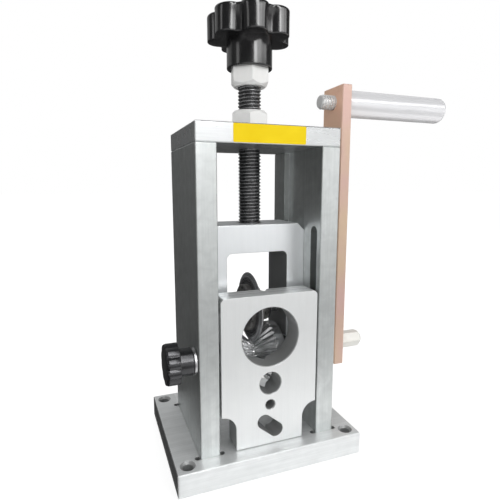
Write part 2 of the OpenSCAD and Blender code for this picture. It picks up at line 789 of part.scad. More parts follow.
// Key on top of the shaft, of the given length to the left of its inner end
module feed_key_body(len) {
  translate([feed_key_len - drum_half - len, mech_y - feed_key_w / 2, shaft_z + (shaft_d - feed_key_w) / 2])
    cube([len, feed_key_w, feed_key_w]);
}

module feed_roller() {
  r = roller_d / 2;
  color("silver") difference() {
    along_x(0, mech_y, shaft_z) difference() {
      turned([[-drum_half, r - drum_bevel], [-drum_half + drum_bevel, r], [-v_half, r],
        [-v_flat_half, root_r], [v_flat_half, root_r], [v_half, r], [drum_half - drum_bevel, r],
        [drum_half, r - drum_bevel]]);
      translate([0, 0, -drum_half - eps]) cylinder(h = 2 * drum_half + 2 * eps, d = shaft_d);
      for (k = [0 : teeth - 1]) rotate(k * 360 / teeth) {
        tooth_gap();
        mirror([0, 0, 1]) tooth_gap();
      }
    }
    feed_key_body(feed_key_len + eps);
  }
}

module roller_key() {
  color("dimgray") feed_key_body(feed_key_len);
}

module shaft_collars() {
  color("silver") for (x = [-collar_end_x, drum_half]) along_x(x, mech_y, shaft_z) difference() {
    cylinder(h = collar_end_x - drum_half, d = collar_d);
    translate([0, 0, -eps]) cylinder(h = collar_end_x - drum_half + 2 * eps, d = shaft_d);
  }
}

module crank_arm() {
  arm_len = arm_foot + crank_throw + arm_head;
  hex_r = hex_af / 2 / cos(30);
  color([0.80, 0.62, 0.52]) difference() {
    translate([arm_x, mech_y - arm_w / 2, shaft_z - arm_foot])
      bevel_box([arm_t, arm_w, arm_len], edge_bevel);
    along_x(arm_x - eps, mech_y, shaft_z) rotate(30) cylinder(h = arm_t + 2 * eps, r = hex_r, $fn = 6);
    along_x(arm_x - eps, mech_y, handle_z) cylinder(h = arm_t + 2 * eps, d = handle_bolt_d);
    translate([arm_x + arm_t / 2, mech_y, shaft_z - arm_foot - eps])
      cylinder(h = arm_foot + eps, d = arm_screw_d);
  }
}

module arm_set_screw() {
  sunk = 0.4;
  color("dimgray") translate([arm_x + arm_t / 2, mech_y, shaft_z - arm_foot + sunk])
    set_screw(arm_screw_d, arm_foot - hex_af / 2 - sunk);
}

module handle_bolt() {
  r = handle_bolt_d / 2;
  bevel = 0.8;
  head_end = bolt_head_x + bolt_head_t - rest_gap;
  color("silver") difference() {
    along_x(0, mech_y, handle_z)
      turned([[arm_x - bolt_stub, r - bevel], [arm_x - bolt_stub + bevel, r], [bolt_head_x, r],
        [bolt_head_x, bolt_head_d / 2], [head_end - bevel, bolt_head_d / 2],
        [head_end, bolt_head_d / 2 - bevel]]);
    along_x(head_end - bolt_head_t * 0.6, mech_y, handle_z)
      cylinder(h = bolt_head_t, d = handle_bolt_d * 0.7, $fn = 6);
  }
}

module handle_sleeve() {
  r = handle_d / 2;
  soft = 1.5;
  color("silver") difference() {
    along_x(handle_x, mech_y, handle_z)
      turned([[0, r - soft / 2], [soft / 2, r], [handle_len - soft, r],
        [handle_len - soft * 0.3, r - soft * 0.3], [handle_len, r - soft]]);
    along_x(handle_x - eps, mech_y, handle_z) cylinder(h = handle_len + 2 * eps, d = handle_bore);
    along_x(bolt_head_x - rest_gap, mech_y, handle_z)
      cylinder(h = bolt_head_t + eps + rest_gap, d = bolt_head_d + 2 * slide_clear);
  }
}

module pressure_screw() {
  r = screw_d / 2;
  jr = journal_d / 2;
  groove_r = jr - clip_groove_depth;
  bevel = 1.8;
  color([0.16, 0.16, 0.16]) translate([0, mech_y, 0])
    turned([[journal_end_z, jr - 0.5], [journal_end_z + 0.5, jr], [end_clip_z, jr],
      [end_clip_z, groove_r], [end_clip_z + end_clip_t, groove_r], [end_clip_z + end_clip_t, jr],
      [shoulder_z, jr], [shoulder_z, r - 0.5], [shoulder_z + 0.5, r], [screw_top - bevel, r],
      [screw_top, r - bevel]]);
}

module end_washer() {
  color("silver") translate([0, mech_y, end_washer_z]) difference() {
    cylinder(h = washer_t, d = end_washer_d);
    translate([0, 0, -eps]) cylinder(h = washer_t + 2 * eps, d = journal_d);
  }
}

module end_clip() {
  color("dimgray") translate([0, mech_y, end_clip_z])
    clip_ring(journal_d - 2 * clip_groove_depth, journal_d + clip_rim, end_clip_t);
}

// Slice of the star knob's head, drawn in at one end
module knob_slice(h, inset_0, inset_1) {
  steps = knob_lobes * 16;
  r = knob_d / 2 - inset_0;
  grow = (knob_d / 2 - inset_1) / r;
  linear_extrude(h, scale = grow)
    polygon([for (k = [0 : steps - 1])
      let (a = k * 360 / steps, swing = pow(cos(a * knob_lobes / 2), 2),
        d = r - knob_valley * (1 - sqrt(valley_round + (1 - valley_round) * swing)))
        [d * cos(a), d * sin(a)]]);
}

module star_knob() {
  soft = 1.6;
  hub_r = knob_hub_d / 2;
  color([0.08, 0.08, 0.08]) translate([0, mech_y, 0]) difference() {
    union() {
      translate([0, 0, knob_head_z]) rotate(knob_turn) {
        knob_slice(soft / 2, soft / 2, 0);
        translate([0, 0, soft / 2]) knob_slice(knob_head_h - 1.5 * soft, 0, 0);
        translate([0, 0, knob_head_h - soft]) knob_slice(soft, 0, soft);
      }
      turned([[knob_hub_z, hub_r - 1.2], [knob_hub_z + 1.2, hub_r], [knob_head_z + 1, hub_r]]);
    }
    translate([0, 0, knob_hub_z - eps]) cylinder(h = insert_len + eps, d = insert_d);
    translate([0, 0, knob_hub_z - eps]) cylinder(h = knob_top - knob_hub_z + 2 * eps, d = screw_d);
  }
}

module knob_insert() {
  color("darkgray") translate([0, mech_y, knob_hub_z]) difference() {
    cylinder(h = insert_len, d = insert_d);
    translate([0, 0, -eps]) cylinder(h = insert_len + 2 * eps, d = screw_d);
  }
}

module jam_nut() {
  color("white") translate([0, mech_y, knob_hub_z]) rotate(jam_nut_turn) mirror([0, 0, 1])
    hex_nut(nut_af, jam_nut_h, screw_d);
}

module lock_nut() {
  color("white") translate([0, mech_y, lock_nut_z]) rotate(lock_nut_turn)
    hex_nut(nut_af, lock_nut_h, screw_d + 2 * run_clear);
}

base_plate();
side_plate_left();
side_plate_right();
top_bar();
base_screws();
bar_screws();
shaft_bush_left();
shaft_bush_right();
guide_plate();
guide_keys();
key_screws();
lock_knob();
lock_knob_screw();
carriage();
knife_axle();
axle_clips();
axle_set_screws();
thrust_washer();
round_knife();
knife_flange_left();
knife_flange_right();
flange_screws();
hub_bush();
drive_shaft();
feed_roller();
roller_key();
shaft_collars();
crank_arm();
arm_set_screw();
handle_bolt();
handle_sleeve();
pressure_screw();
star_knob();
knob_insert();
jam_nut();
end_washer();
end_clip();
lock_nut();
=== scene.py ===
"""Looks of a hand-cranked wire stripping machine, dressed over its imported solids. Metres, +Z up."""

import math

import bmesh
import bpy
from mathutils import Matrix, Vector


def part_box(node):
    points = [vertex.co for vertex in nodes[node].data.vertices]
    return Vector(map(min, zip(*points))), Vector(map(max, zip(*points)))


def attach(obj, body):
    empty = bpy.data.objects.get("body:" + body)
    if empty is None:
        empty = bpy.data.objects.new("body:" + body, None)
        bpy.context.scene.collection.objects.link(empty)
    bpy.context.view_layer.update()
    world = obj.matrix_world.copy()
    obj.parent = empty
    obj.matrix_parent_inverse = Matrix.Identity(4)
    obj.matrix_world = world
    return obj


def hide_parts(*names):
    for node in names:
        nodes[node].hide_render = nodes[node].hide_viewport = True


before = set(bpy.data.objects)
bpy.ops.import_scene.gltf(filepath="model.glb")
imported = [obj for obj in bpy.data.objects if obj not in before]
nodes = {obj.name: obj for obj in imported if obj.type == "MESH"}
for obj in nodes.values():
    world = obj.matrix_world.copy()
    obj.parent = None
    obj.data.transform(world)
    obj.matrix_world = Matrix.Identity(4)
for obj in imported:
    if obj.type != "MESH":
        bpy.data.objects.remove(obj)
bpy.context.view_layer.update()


# Base plate, side plates and top bar: aluminium flats, milled on their faces
# and linished along their length. Screws from below and above pull them
# together; the seats in the base keep the side plates square.


def add_node(tree, kind, inputs=None, **settings):
    """Adds a node; an input takes a plain value or another node's output."""
    node = tree.nodes.new(kind)
    for name, value in settings.items():
        setattr(node, name, value)
    for name, value in (inputs or {}).items():
        if isinstance(value, bpy.types.NodeSocket):
            tree.links.new(value, node.inputs[name])
        else:
            node.inputs[name].default_value = value
    return node


def new_group(name, inputs, outputs, normals=()):
    """An empty shader group with named sockets: name -> (type, default)."""
    group = bpy.data.node_groups.new(name, "ShaderNodeTree")
    for label, (kind, value) in inputs.items():
        socket = group.interface.new_socket(label, in_out="INPUT", socket_type=kind)
        socket.default_value = value
    for label in outputs:
        group.interface.new_socket(label, in_out="OUTPUT", socket_type="NodeSocketFloat")
    for label in normals:
        group.interface.new_socket(label, in_out="OUTPUT", socket_type="NodeSocketVector")
    return group, group.nodes.new("NodeGroupInput").outputs, group.nodes.new("NodeGroupOutput").inputs


def object_place(tree):
    """Where a point of the surface lies on the machine, in metres."""
    return add_node(tree, "ShaderNodeTexCoord").outputs["Object"]


def vector_sum(tree, operation, a, b):
    """A vector worked out from two others."""
    return add_node(tree, "ShaderNodeVectorMath", {0: a, 1: b}, operation=operation).outputs[0]


def noise(tree, place, scale, detail=2.0, distortion=0.0):
    """Cloudy noise between 0 and 1."""
    inputs = {"Vector": place, "Scale": scale, "Detail": detail, "Distortion": distortion}
    return add_node(tree, "ShaderNodeTexNoise", inputs).outputs["Fac"]


def spread(tree, value, low, high, start=0.3, end=0.7):
    """A mask's start to end spread over low to high."""
    return add_node(
        tree, "ShaderNodeMapRange", {"Value": value, 1: start, 2: end, 3: low, 4: high}
    ).outputs[0]


def milled_grain_group():
    """Fine streaks along one direction over a faint cloudiness, as a face mill and a linisher leave."""
    group, given, made = new_group(
        "milled_grain",
        {
            "Across": ("NodeSocketVector", (1400.0, 1400.0, 60.0)),
            "Cloud": ("NodeSocketFloat", 90.0),
        },
        ("Grain", "Cloud"),
    )
    place = object_place(group)
    stretched = vector_sum(group, "MULTIPLY", place, given["Across"])
    fine = noise(group, stretched, 1.0, 5.0)
    wide = noise(group, stretched, 0.22)
    both = add_node(group, "ShaderNodeMix", {0: 0.5, 2: fine, 3: wide}, data_type="FLOAT").outputs[0]
    group.links.new(both, made["Grain"])
    group.links.new(noise(group, place, given["Cloud"], 3.0, 0.6), made["Cloud"])
    return group


def worn_edge_group():
    """Edges and corners within the radius: a mask, broken up by noise, and their rounded normal."""
    group, given, made = new_group(
        "worn_edge",
        {"Radius": ("NodeSocketFloat", 0.0006), "Break": ("NodeSocketFloat", 700.0)},
        ("Mask",),
        ("Rounded",),
    )
    rounded = add_node(group, "ShaderNodeBevel", {"Radius": given["Radius"]}, samples=4).outputs[0]
    true = add_node(group, "ShaderNodeNewGeometry").outputs["Normal"]
    facing = add_node(
        group, "ShaderNodeVectorMath", {0: rounded, 1: true}, operation="DOT_PRODUCT"
    ).outputs["Value"]
    near = spread(group, facing, 0.0, 1.0, 0.995, 0.86)
    broken = spread(group, noise(group, object_place(group), given["Break"]), 0.35, 1.0, 0.35, 0.65)
    mask = add_node(group, "ShaderNodeMath", {0: near, 1: broken}, operation="MULTIPLY").outputs[0]
    group.links.new(mask, made["Mask"])
    group.links.new(rounded, made["Rounded"])
    return group


milled_grain = milled_grain_group()
worn_edge = worn_edge_group()


def new_material(name):
    """A material with only its output node."""
    material = bpy.data.materials.new(name)
    material.use_nodes = True
    tree = material.node_tree
    tree.nodes.clear()
    return material, tree, add_node(tree, "ShaderNodeOutputMaterial").inputs["Surface"]


def mix_colour(tree, share, low, high):
    """The colour between low and high at the given share."""
    return add_node(
        tree, "ShaderNodeMix", {0: share, 6: low, 7: high}, data_type="RGBA"
    ).outputs[2]


def raised(tree, height, strength, distance=0.0001, normal=None):
    """A normal that follows a height; the distance is in metres."""
    inputs = {"Height": height, "Strength": strength, "Distance": distance}
    if normal is not None:
        inputs["Normal"] = normal
    return add_node(tree, "ShaderNodeBump", inputs).outputs[0]


def finish_surface(tree, surface, colour, rough, normal, settings):
    """Brings colour, roughness and normal together in the material's one shader."""
    inputs = {"Base Color": colour, "Roughness": rough, "Normal": normal, **settings}
    shader = add_node(tree, "ShaderNodeBsdfPrincipled", inputs)
    tree.links.new(shader.outputs[0], surface)


def facing_along(tree, axis):
    """1 on faces that look along the axis either way, 0 on faces that lie along it."""
    normal = add_node(tree, "ShaderNodeNewGeometry").outputs["True Normal"]
    part = add_node(tree, "ShaderNodeSeparateXYZ", {0: normal}).outputs[axis]
    return add_node(tree, "ShaderNodeMath", {0: part}, operation="ABSOLUTE").outputs[0]


def painted_darker_inside(tree, colour, axis, low, high, tone):
    """The colour, with only its tone left inside a box, on faces that don't look along the axis: painted
    shade, and painted thin dark lines.
    """
    shade = (0.03, 0.03, 0.03, 1)
    place = add_node(tree, "ShaderNodeSeparateXYZ", {0: object_place(tree)}).outputs
    share = spread(tree, facing_along(tree, axis), 1.0, 0.0, 0.7, 0.95)
    for k in range(3):
        centre, reach = (low[k] + high[k]) / 2, (high[k] - low[k]) / 2
        near = add_node(
            tree, "ShaderNodeMath", {0: place[k], 1: centre, 2: reach}, operation="COMPARE"
        ).outputs[0]
        share = add_node(tree, "ShaderNodeMath", {0: share, 1: near}, operation="MULTIPLY").outputs[0]
    darker = mix_colour(tree, 1.0 - tone, colour, shade)
    return mix_colour(tree, share, colour, darker)


def milled_metal(
    name,
    dark,
    light,
    along,
    rough=(0.3, 0.42),
    cloud=90.0,
    blotch=0.25,
    bump=0.02,
    wear=0.0006,
    metallic=1.0,
    painted_darker=(),
):
    """Bare metal with its grain along one axis, 0 for X to 2 for Z; painted_darker lists regions painted
    darker, mostly painted shade.
    """
    streaks_per_metre, breaks_per_metre = 1500.0, 55.0
    across = [streaks_per_metre] * 3
    across[along] = breaks_per_metre
    dull = [v * 0.85 for v in dark]
    bright = [min(1.0, v * 1.12) for v in light]
    material, tree, surface = new_material(name)
    marks = add_node(
        tree, "ShaderNodeGroup", {"Across": across, "Cloud": cloud}, node_tree=milled_grain
    ).outputs
    edge = add_node(tree, "ShaderNodeGroup", {"Radius": wear}, node_tree=worn_edge).outputs
    colour = mix_colour(tree, spread(tree, marks["Grain"], 0.0, 1.0), (*dark, 1), (*light, 1))
    colour = mix_colour(tree, spread(tree, marks["Cloud"], 0.0, blotch), colour, (*dull, 1))
    for region in painted_darker:
        colour = painted_darker_inside(tree, colour, *region)
    colour = mix_colour(tree, edge["Mask"], colour, (*bright, 1))
    roughness = spread(tree, marks["Grain"], rough[1], rough[0])
    lift = raised(tree, marks["Grain"], bump, 0.0002, edge["Rounded"])
    finish_surface(tree, surface, colour, roughness, lift, {"Metallic": metallic})
    return material


def dress(material, *names):
    """Gives CAD nodes their material, in every slot they have."""
    for name in names:
        data = nodes[name].data
        if not data.materials:
            data.materials.append(material)
        for slot in nodes[name].material_slots:
            slot.material = material


# Regions of painted shade: the axis that faces don't look along, two corners and the tone left.
# Painted shade on the plates' groove walls, on a strip of the base's top beside the left plate, in the
# base's holes and seats, and over the base's left end face.
shaded_groove_walls = (0, (-0.04, -0.0255, 0.013), (0.04, 0.0312, 0.1637), 0.6)
shaded_left_strip = (1, (-0.0495, -0.0395, 0.0119), (-0.037, 0.0395, 0.0121), 0.9)
shaded_base_hole_walls = (2, (-0.0495, -0.0395, 0.0005), (0.0495, 0.0395, 0.0125), 0.45)
shaded_left_end = (2, (-0.051, -0.0395, -0.001), (-0.0495, 0.041, 0.0119), 0.12)
plate_metal = milled_metal(
    "side_plate_metal",
    (0.63, 0.655, 0.65),
    (0.75, 0.775, 0.77),
    2,
    rough=(0.34, 0.46),
    cloud=190.0,
    blotch=0.6,
    metallic=0.95,
    painted_darker=[shaded_groove_walls],
)
dress(plate_metal, "side_plate_left", "side_plate_right")
bar_metal = milled_metal(
    "top_bar_metal", (0.66, 0.675, 0.68), (0.79, 0.805, 0.81), 0, (0.24, 0.34), cloud=120.0, metallic=0.9
)
dress(bar_metal, "top_bar")
base_metal = milled_metal(
    "base_plate_metal",
    (0.76, 0.78, 0.78),
    (0.93, 0.95, 0.955),
    0,
    rough=(0.38, 0.56),
    cloud=150.0,
    bump=0.05,
    metallic=0.5,
    painted_darker=[shaded_left_strip, shaded_base_hole_walls, shaded_left_end],
)
dress(base_metal, "base_plate")


# Screws that hold the frame and the guide keys, and the set screws: hardened
# steel with a black oxide finish, hexagon sockets, driven flush.


def reach_from_axis(tree, centre, across):
    """How far a point is from an axis through centre; across is 1 for the directions square to it."""
    moved = vector_sum(tree, "SUBTRACT", object_place(tree), centre)
    flat = vector_sum(tree, "MULTIPLY", moved, across)
    return add_node(tree, "ShaderNodeVectorMath", {0: flat}, operation="LENGTH").outputs["Value"]


def oxide_steel(
    name,
    dark=(0.016, 0.016, 0.018),
    light=(0.05, 0.05, 0.054),
    rough=(0.26, 0.42),
    metallic=0.75,
    rod=None,
):
    """Blackened steel that shines through on worn edges, which also carry a painted glint; rod is a
    thread's axis, root and crest, and paints shade into the thread's roots.
    """
    painted_root_shade = (0.05, 0.05, 0.052, 1)
    rubbed_and_glinting = (0.34, 0.33, 0.32, 1)
    material, tree, surface = new_material(name)
    marks = add_node(
        tree, "ShaderNodeGroup", {"Across": [700.0] * 3, "Cloud": 260.0}, node_tree=milled_grain
    ).outputs
    edge = add_node(tree, "ShaderNodeGroup", {"Radius": 0.00025}, node_tree=worn_edge).outputs
    blotches = mix_colour(tree, spread(tree, marks["Cloud"], 0.0, 1.0), (*dark, 1), (*light, 1))
    # Painted shade: with rod, the colour goes near black towards the thread's roots.
    if rod:
        reach = reach_from_axis(tree, (*rod[0], 0.0), (1.0, 1.0, 0.0))
        height = spread(tree, reach, 0.0, 1.0, rod[1], rod[2])
        blotches = mix_colour(tree, height, painted_root_shade, blotches)
    # Edges and thread crests go lighter: partly wear, partly a painted glint.
    share = spread(tree, edge["Mask"], 0.0, 0.5, 0.0, 1.0)
    colour = mix_colour(tree, share, blotches, rubbed_and_glinting)
    roughness = spread(tree, marks["Cloud"], rough[0], rough[1])
    lift = raised(tree, marks["Grain"], 0.08)
    finish_surface(tree, surface, colour, roughness, lift, {"Metallic": metallic})
    return material


screw_oxide = oxide_steel("socket_screw_oxide")
dress(screw_oxide, "base_screws", "bar_screws", "key_screws", "axle_set_screws", "flange_screws")
dress(screw_oxide, "arm_set_screw")


# Sticker on the top bar's front: printed vinyl with a clear film over it, cut
# to a rectangle with slightly rounded corners and stuck on. It is left plain.


def fillet_rectangle(low, high, radius, steps=6):
    """Corner points of a rectangle with round corners, anticlockwise."""
    points = []
    for sx, sy, start in ((1, 1, 0), (0, 1, 90), (0, 0, 180), (1, 0, 270)):
        centre_x = high[0] - radius if sx else low[0] + radius
        centre_y = high[1] - radius if sy else low[1] + radius
        for k in range(steps + 1):
            angle = math.radians(start + 90 * k / steps)
            points.append((centre_x + radius * math.cos(angle), centre_y + radius * math.sin(angle)))
    return points


def mesh_object(name, make):
    """Builds a mesh object in place with make(bmesh) and closes its doubles."""
    shape = bmesh.new()
    make(shape)
    bmesh.ops.remove_doubles(shape, verts=shape.verts, dist=1e-7)
    bmesh.ops.recalc_face_normals(shape, faces=shape.faces)
    data = bpy.data.meshes.new(name)
    shape.to_mesh(data)
    shape.free()
    piece = bpy.data.objects.new(name, data)
    bpy.context.scene.collection.objects.link(piece)
    return piece


bar_low, bar_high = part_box("top_bar")
sticker_thick = 0.00014
sticker_corner = 0.0006
edge_drawn_in = 0.00006
sticker_low = (-0.0193, bar_low.z + 0.0004)
sticker_high = (0.0176, bar_high.z - 0.0004)


def make_sticker(shape):
    """A thin sheet whose front edge is slightly drawn in."""
    rings = []
    for depth, inset in ((0.0, 0.0), (sticker_thick * 0.7, 0.0), (sticker_thick, edge_drawn_in)):
        low = [v + inset for v in sticker_low]
        high = [v - inset for v in sticker_high]
        ring = [
            shape.verts.new((x, bar_low.y - depth, z))
            for x, z in fillet_rectangle(low, high, sticker_corner)
        ]
        rings.append(ring)
    for lower, upper in zip(rings, rings[1:]):
        for k in range(len(lower)):
            m = (k + 1) % len(lower)
            shape.faces.new((lower[k], lower[m], upper[m], upper[k]))
    shape.faces.new(rings[0])
    shape.faces.new(rings[-1])


def sticker_vinyl():
    """Yellow print under a clear film, with faint waves and pinhead dust under it."""
    deep_yellow, light_yellow = (0.92, 0.66, 0.005, 1), (0.97, 0.72, 0.012, 1)
    dust = (0.80, 0.58, 0.02, 1)
    material, tree, surface = new_material("sticker_vinyl")
    place = object_place(tree)
    waves = noise(tree, place, 110.0)
    dots = noise(tree, place, 2600.0, 1.0)
    print_colour = mix_colour(tree, spread(tree, waves, 0.0, 1.0), deep_yellow, light_yellow)
    colour = mix_colour(tree, spread(tree, dots, 0.0, 0.25, 0.66, 0.8), print_colour, dust)
    lift = raised(tree, waves, 0.12, 0.0003)
    roughness = spread(tree, waves, 0.34, 0.42)
    finish_surface(tree, surface, colour, roughness, lift, {"Specular IOR Level": 0.1})
    return material


sticker = mesh_object("plain_sticker", make_sticker)
sticker.data.materials.append(sticker_vinyl())
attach(sticker, "frame")


# Bushes, hub bush and thrust washer: turned bronze. Clips: spring steel,
# phosphated dark grey. They keep the knife's axle and the screw from wandering.


def turned_metal(
    name, dark, light, axis, rough=(0.22, 0.36), ring=5200.0, bump=0.03, wear=0.0003, metallic=1.0
):
    """Lathe-turned metal: fine rings along its axis (0, 1 or 2) and on its faces."""
    material, tree, surface = new_material(name)
    place = object_place(tree)
    scale = [60.0, 60.0, 60.0]
    scale[axis] = ring
    rings = noise(tree, vector_sum(tree, "MULTIPLY", place, scale), 1.0, 3.0)
    cloud = noise(tree, place, 140.0, 3.0)
    edge = add_node(tree, "ShaderNodeGroup", {"Radius": wear}, node_tree=worn_edge).outputs
    clouded = mix_colour(tree, spread(tree, cloud, 0.0, 1.0), (*dark, 1), (*light, 1))
    bright = [min(1.0, v * 1.15 + 0.02) for v in light]
    colour = mix_colour(tree, edge["Mask"], clouded, (*bright, 1))
    roughness = spread(tree, rings, rough[0], rough[1])
    finish_surface(tree, surface, colour, roughness, raised(tree, rings, bump), {"Metallic": metallic})
    return material


bronze = turned_metal("turned_bronze", (0.48, 0.29, 0.11), (0.66, 0.43, 0.19), 0)
dress(bronze, "shaft_bush_left", "shaft_bush_right", "hub_bush", "thrust_washer")
clip_steel = oxide_steel("clip_phosphate", (0.05, 0.05, 0.055), (0.11, 0.11, 0.12), (0.36, 0.5))
dress(clip_steel, "axle_clips", "end_clip")


# Guide plate with its cable holes: aluminium, face-milled and then blasted a
# little, so it is paler and smoother than the frame. Its keys are ground steel.

# Painted shade on the walls of the guide's holes and notches; two thin darker lines painted across its top.
shaded_guide_hole_walls = (1, (-0.0257, -0.033, 0.0125), (0.0257, -0.018, 0.0916), 0.5)
front_dark_line = (0, (-0.0255, -0.0262, 0.0918), (0.0255, -0.0258, 0.0921), 0.4)
back_dark_line = (0, (-0.0255, -0.0226, 0.0918), (0.0255, -0.0219, 0.0921), 0.6)
guide_metal = milled_metal(
    "guide_plate_metal",
    (0.84, 0.855, 0.855),
    (0.89, 0.905, 0.905),
    2,
    rough=(0.38, 0.46),
    cloud=60.0,
    blotch=0.2,
    bump=0.005,
    wear=0.0004,
    metallic=0.6,
    painted_darker=[shaded_guide_hole_walls, front_dark_line, back_dark_line],
)
dress(guide_metal, "guide_plate")
ground_steel = milled_metal(
    "ground_steel", (0.48, 0.48, 0.49), (0.64, 0.64, 0.65), 2, rough=(0.2, 0.3), wear=0.0003
)
dress(ground_steel, "guide_keys", "roller_key")


# Fork that carries the knife: a thick aluminium block with a milled window,
# satin faces, sliding in the side plates' grooves.

# Painted shade on the walls of the fork's window.
shaded_window_walls = (1, (-0.0245, -0.015, 0.0625), (0.0245, 0.013, 0.1235), 0.25)
fork_metal = milled_metal(
    "fork_metal",
    (0.89, 0.915, 0.93),
    (0.93, 0.955, 0.97),
    2,
    rough=(0.34, 0.42),
    cloud=70.0,
    blotch=0.15,
    bump=0.006,
    metallic=0.6,
    painted_darker=[shaded_window_walls],
)
dress(fork_metal, "carriage")
axle_metal = turned_metal("axle_steel", (0.50, 0.50, 0.51), (0.66, 0.66, 0.67), 0)
dress(axle_metal, "knife_axle")


# Round knife: tool steel, hardened dark, with a bright ground bevel at its
# rim. Two blackened flanges clamp it.


def knife_steel():
    """Dark hardened disc whose bevel is ground bright in fine rings."""
    dark_body, light_body = (0.13, 0.13, 0.135, 1), (0.24, 0.24, 0.25, 1)
    dark_bevel, light_bevel = (0.40, 0.405, 0.42, 1), (0.60, 0.605, 0.62, 1)
    rings_per_metre = 5200.0
    low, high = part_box("round_knife")
    rim = (high.z - low.z) / 2
    material, tree, surface = new_material("knife_steel")
    reach = reach_from_axis(tree, (low + high) / 2, (0.0, 1.0, 1.0))
    ground = spread(tree, reach, 0.0, 1.0, rim - 0.0032, rim - 0.0027)
    rings = add_node(tree, "ShaderNodeMath", {0: reach, 1: rings_per_metre}, operation="MULTIPLY")
    marks = add_node(
        tree,
        "ShaderNodeTexNoise",
        {"W": rings.outputs[0], "Scale": 1.0, "Detail": 2.0},
        noise_dimensions="1D",
    ).outputs["Fac"]
    cloud = noise(tree, object_place(tree), 160.0, 3.0)
    body = mix_colour(tree, spread(tree, cloud, 0.0, 1.0), dark_body, light_body)
    bevel = mix_colour(tree, spread(tree, marks, 0.0, 1.0), dark_bevel, light_bevel)
    colour = mix_colour(tree, ground, body, bevel)
    roughness = spread(tree, marks, 0.18, 0.32)
    finish_surface(tree, surface, colour, roughness, raised(tree, marks, 0.05), {"Metallic": 0.6})
    return material


dress(knife_steel(), "round_knife")
flange_oxide = oxide_steel("flange_oxide", (0.06, 0.058, 0.056), (0.42, 0.41, 0.40), (0.26, 0.38), 0.3)
dress(flange_oxide, "knife_flange_left", "knife_flange_right")


# Drive shaft and toothed roller: the shaft is turned steel with a hexagonal
# end. The roller is hardened, polished, keyed to it and set between collars.

shaft_metal = turned_metal(
    "shaft_steel",
    (0.74, 0.74, 0.695),
    (0.83, 0.83, 0.79),
    0,
    rough=(0.3, 0.42),
    ring=2600.0,
    metallic=0.2,
)
dress(shaft_metal, "drive_shaft")
dress(axle_metal, "shaft_collars")
roller_metal = turned_metal(
    "roller_steel",
    (0.60, 0.605, 0.61),
    (0.78, 0.785, 0.79),
    0,
    rough=(0.14, 0.24),
    bump=0.01,
    wear=0.0004,
    metallic=0.85,
)
dress(roller_metal, "feed_roller")


# Crank arm: flat bar with a yellow-pink zinc plating; its broad faces are coppery,
# partly its tint and partly painted light. The handle's bolt is bright zinc, its sleeve plated tube.


def colour_zinc():
    """Chromated zinc: salmon pink on the edges, coppery on the broad faces, partly tint and partly painted
    light, with yellow-green drifts.
    """
    cool_pink, warm_pink = (0.71, 0.475, 0.43, 1), (0.68, 0.47, 0.37, 1)
    material, tree, surface = new_material("colour_zinc")
    place = object_place(tree)
    drift = noise(tree, place, 22.0, 2.0, 0.2)
    fine = noise(tree, place, 900.0, 3.0)
    edge = add_node(tree, "ShaderNodeGroup", node_tree=worn_edge).outputs
    pink = mix_colour(tree, spread(tree, drift, 0.0, 1.0, 0.35, 0.62), cool_pink, warm_pink)
    # Painted light, partly the plating's tint: broad faces get a brighter coppery colour by which way they
    # look.
    broad = spread(tree, facing_along(tree, 0), 0.0, 1.0, 0.4, 0.9)
    copper = mix_colour(tree, broad, pink, (0.88, 0.56, 0.41, 1))
    drifted = mix_colour(
        tree, spread(tree, drift, 0.0, 0.75, 0.45, 0.75), copper, (0.74, 0.60, 0.36, 1)
    )
    colour = mix_colour(tree, edge["Mask"], drifted, (0.80, 0.58, 0.50, 1))
    roughness = spread(tree, fine, 0.28, 0.38)
    finish_surface(tree, surface, colour, roughness, raised(tree, fine, 0.006), {"Metallic": 0.2})
    return material


dress(colour_zinc(), "crank_arm")
sleeve_metal = milled_metal(
    "sleeve_plating",
    (0.86, 0.86, 0.88),
    (0.89, 0.89, 0.91),
    0,
    rough=(0.22, 0.28),
    blotch=0.1,
    bump=0.001,
    metallic=0.25,
)
dress(sleeve_metal, "handle_sleeve")
zinc_plate = milled_metal(
    "bright_zinc",
    (0.88, 0.885, 0.88),
    (0.94, 0.945, 0.94),
    2,
    rough=(0.18, 0.28),
    bump=0.004,
    wear=0.0002,
    metallic=0.45,
)


def new_shape_tree(name, inputs):
    """An empty geometry tree with named inputs, each point's place in it, and a short way to sum."""
    tree = bpy.data.node_groups.new(name, "GeometryNodeTree")
    tree.interface.new_socket("Geometry", in_out="OUTPUT", socket_type="NodeSocketGeometry")
    for label, kind in inputs.items():
        tree.interface.new_socket(label, in_out="INPUT", socket_type="NodeSocket" + kind)
    given = tree.nodes.new("NodeGroupInput").outputs
    position = add_node(tree, "GeometryNodeInputPosition").outputs[0]
    place = add_node(tree, "ShaderNodeSeparateXYZ", {0: position}).outputs

    def calc(operation, a, b=0.0, c=0.0):
        return add_node(tree, "ShaderNodeMath", {0: a, 1: b, 2: c}, operation=operation).outputs[0]

    return tree, given, place, calc


def end_shape_tree(tree, shape, finish):
    """Ends a geometry tree with real faces that carry their material."""
    real = add_node(tree, "GeometryNodeRealizeInstances", {0: shape}).outputs[0]
    dressed = add_node(tree, "GeometryNodeSetMaterial", {"Geometry": real, "Material": finish})
    made = add_node(tree, "NodeGroupOutput").inputs[0]
    tree.links.new(dressed.outputs[0], made)
    return tree


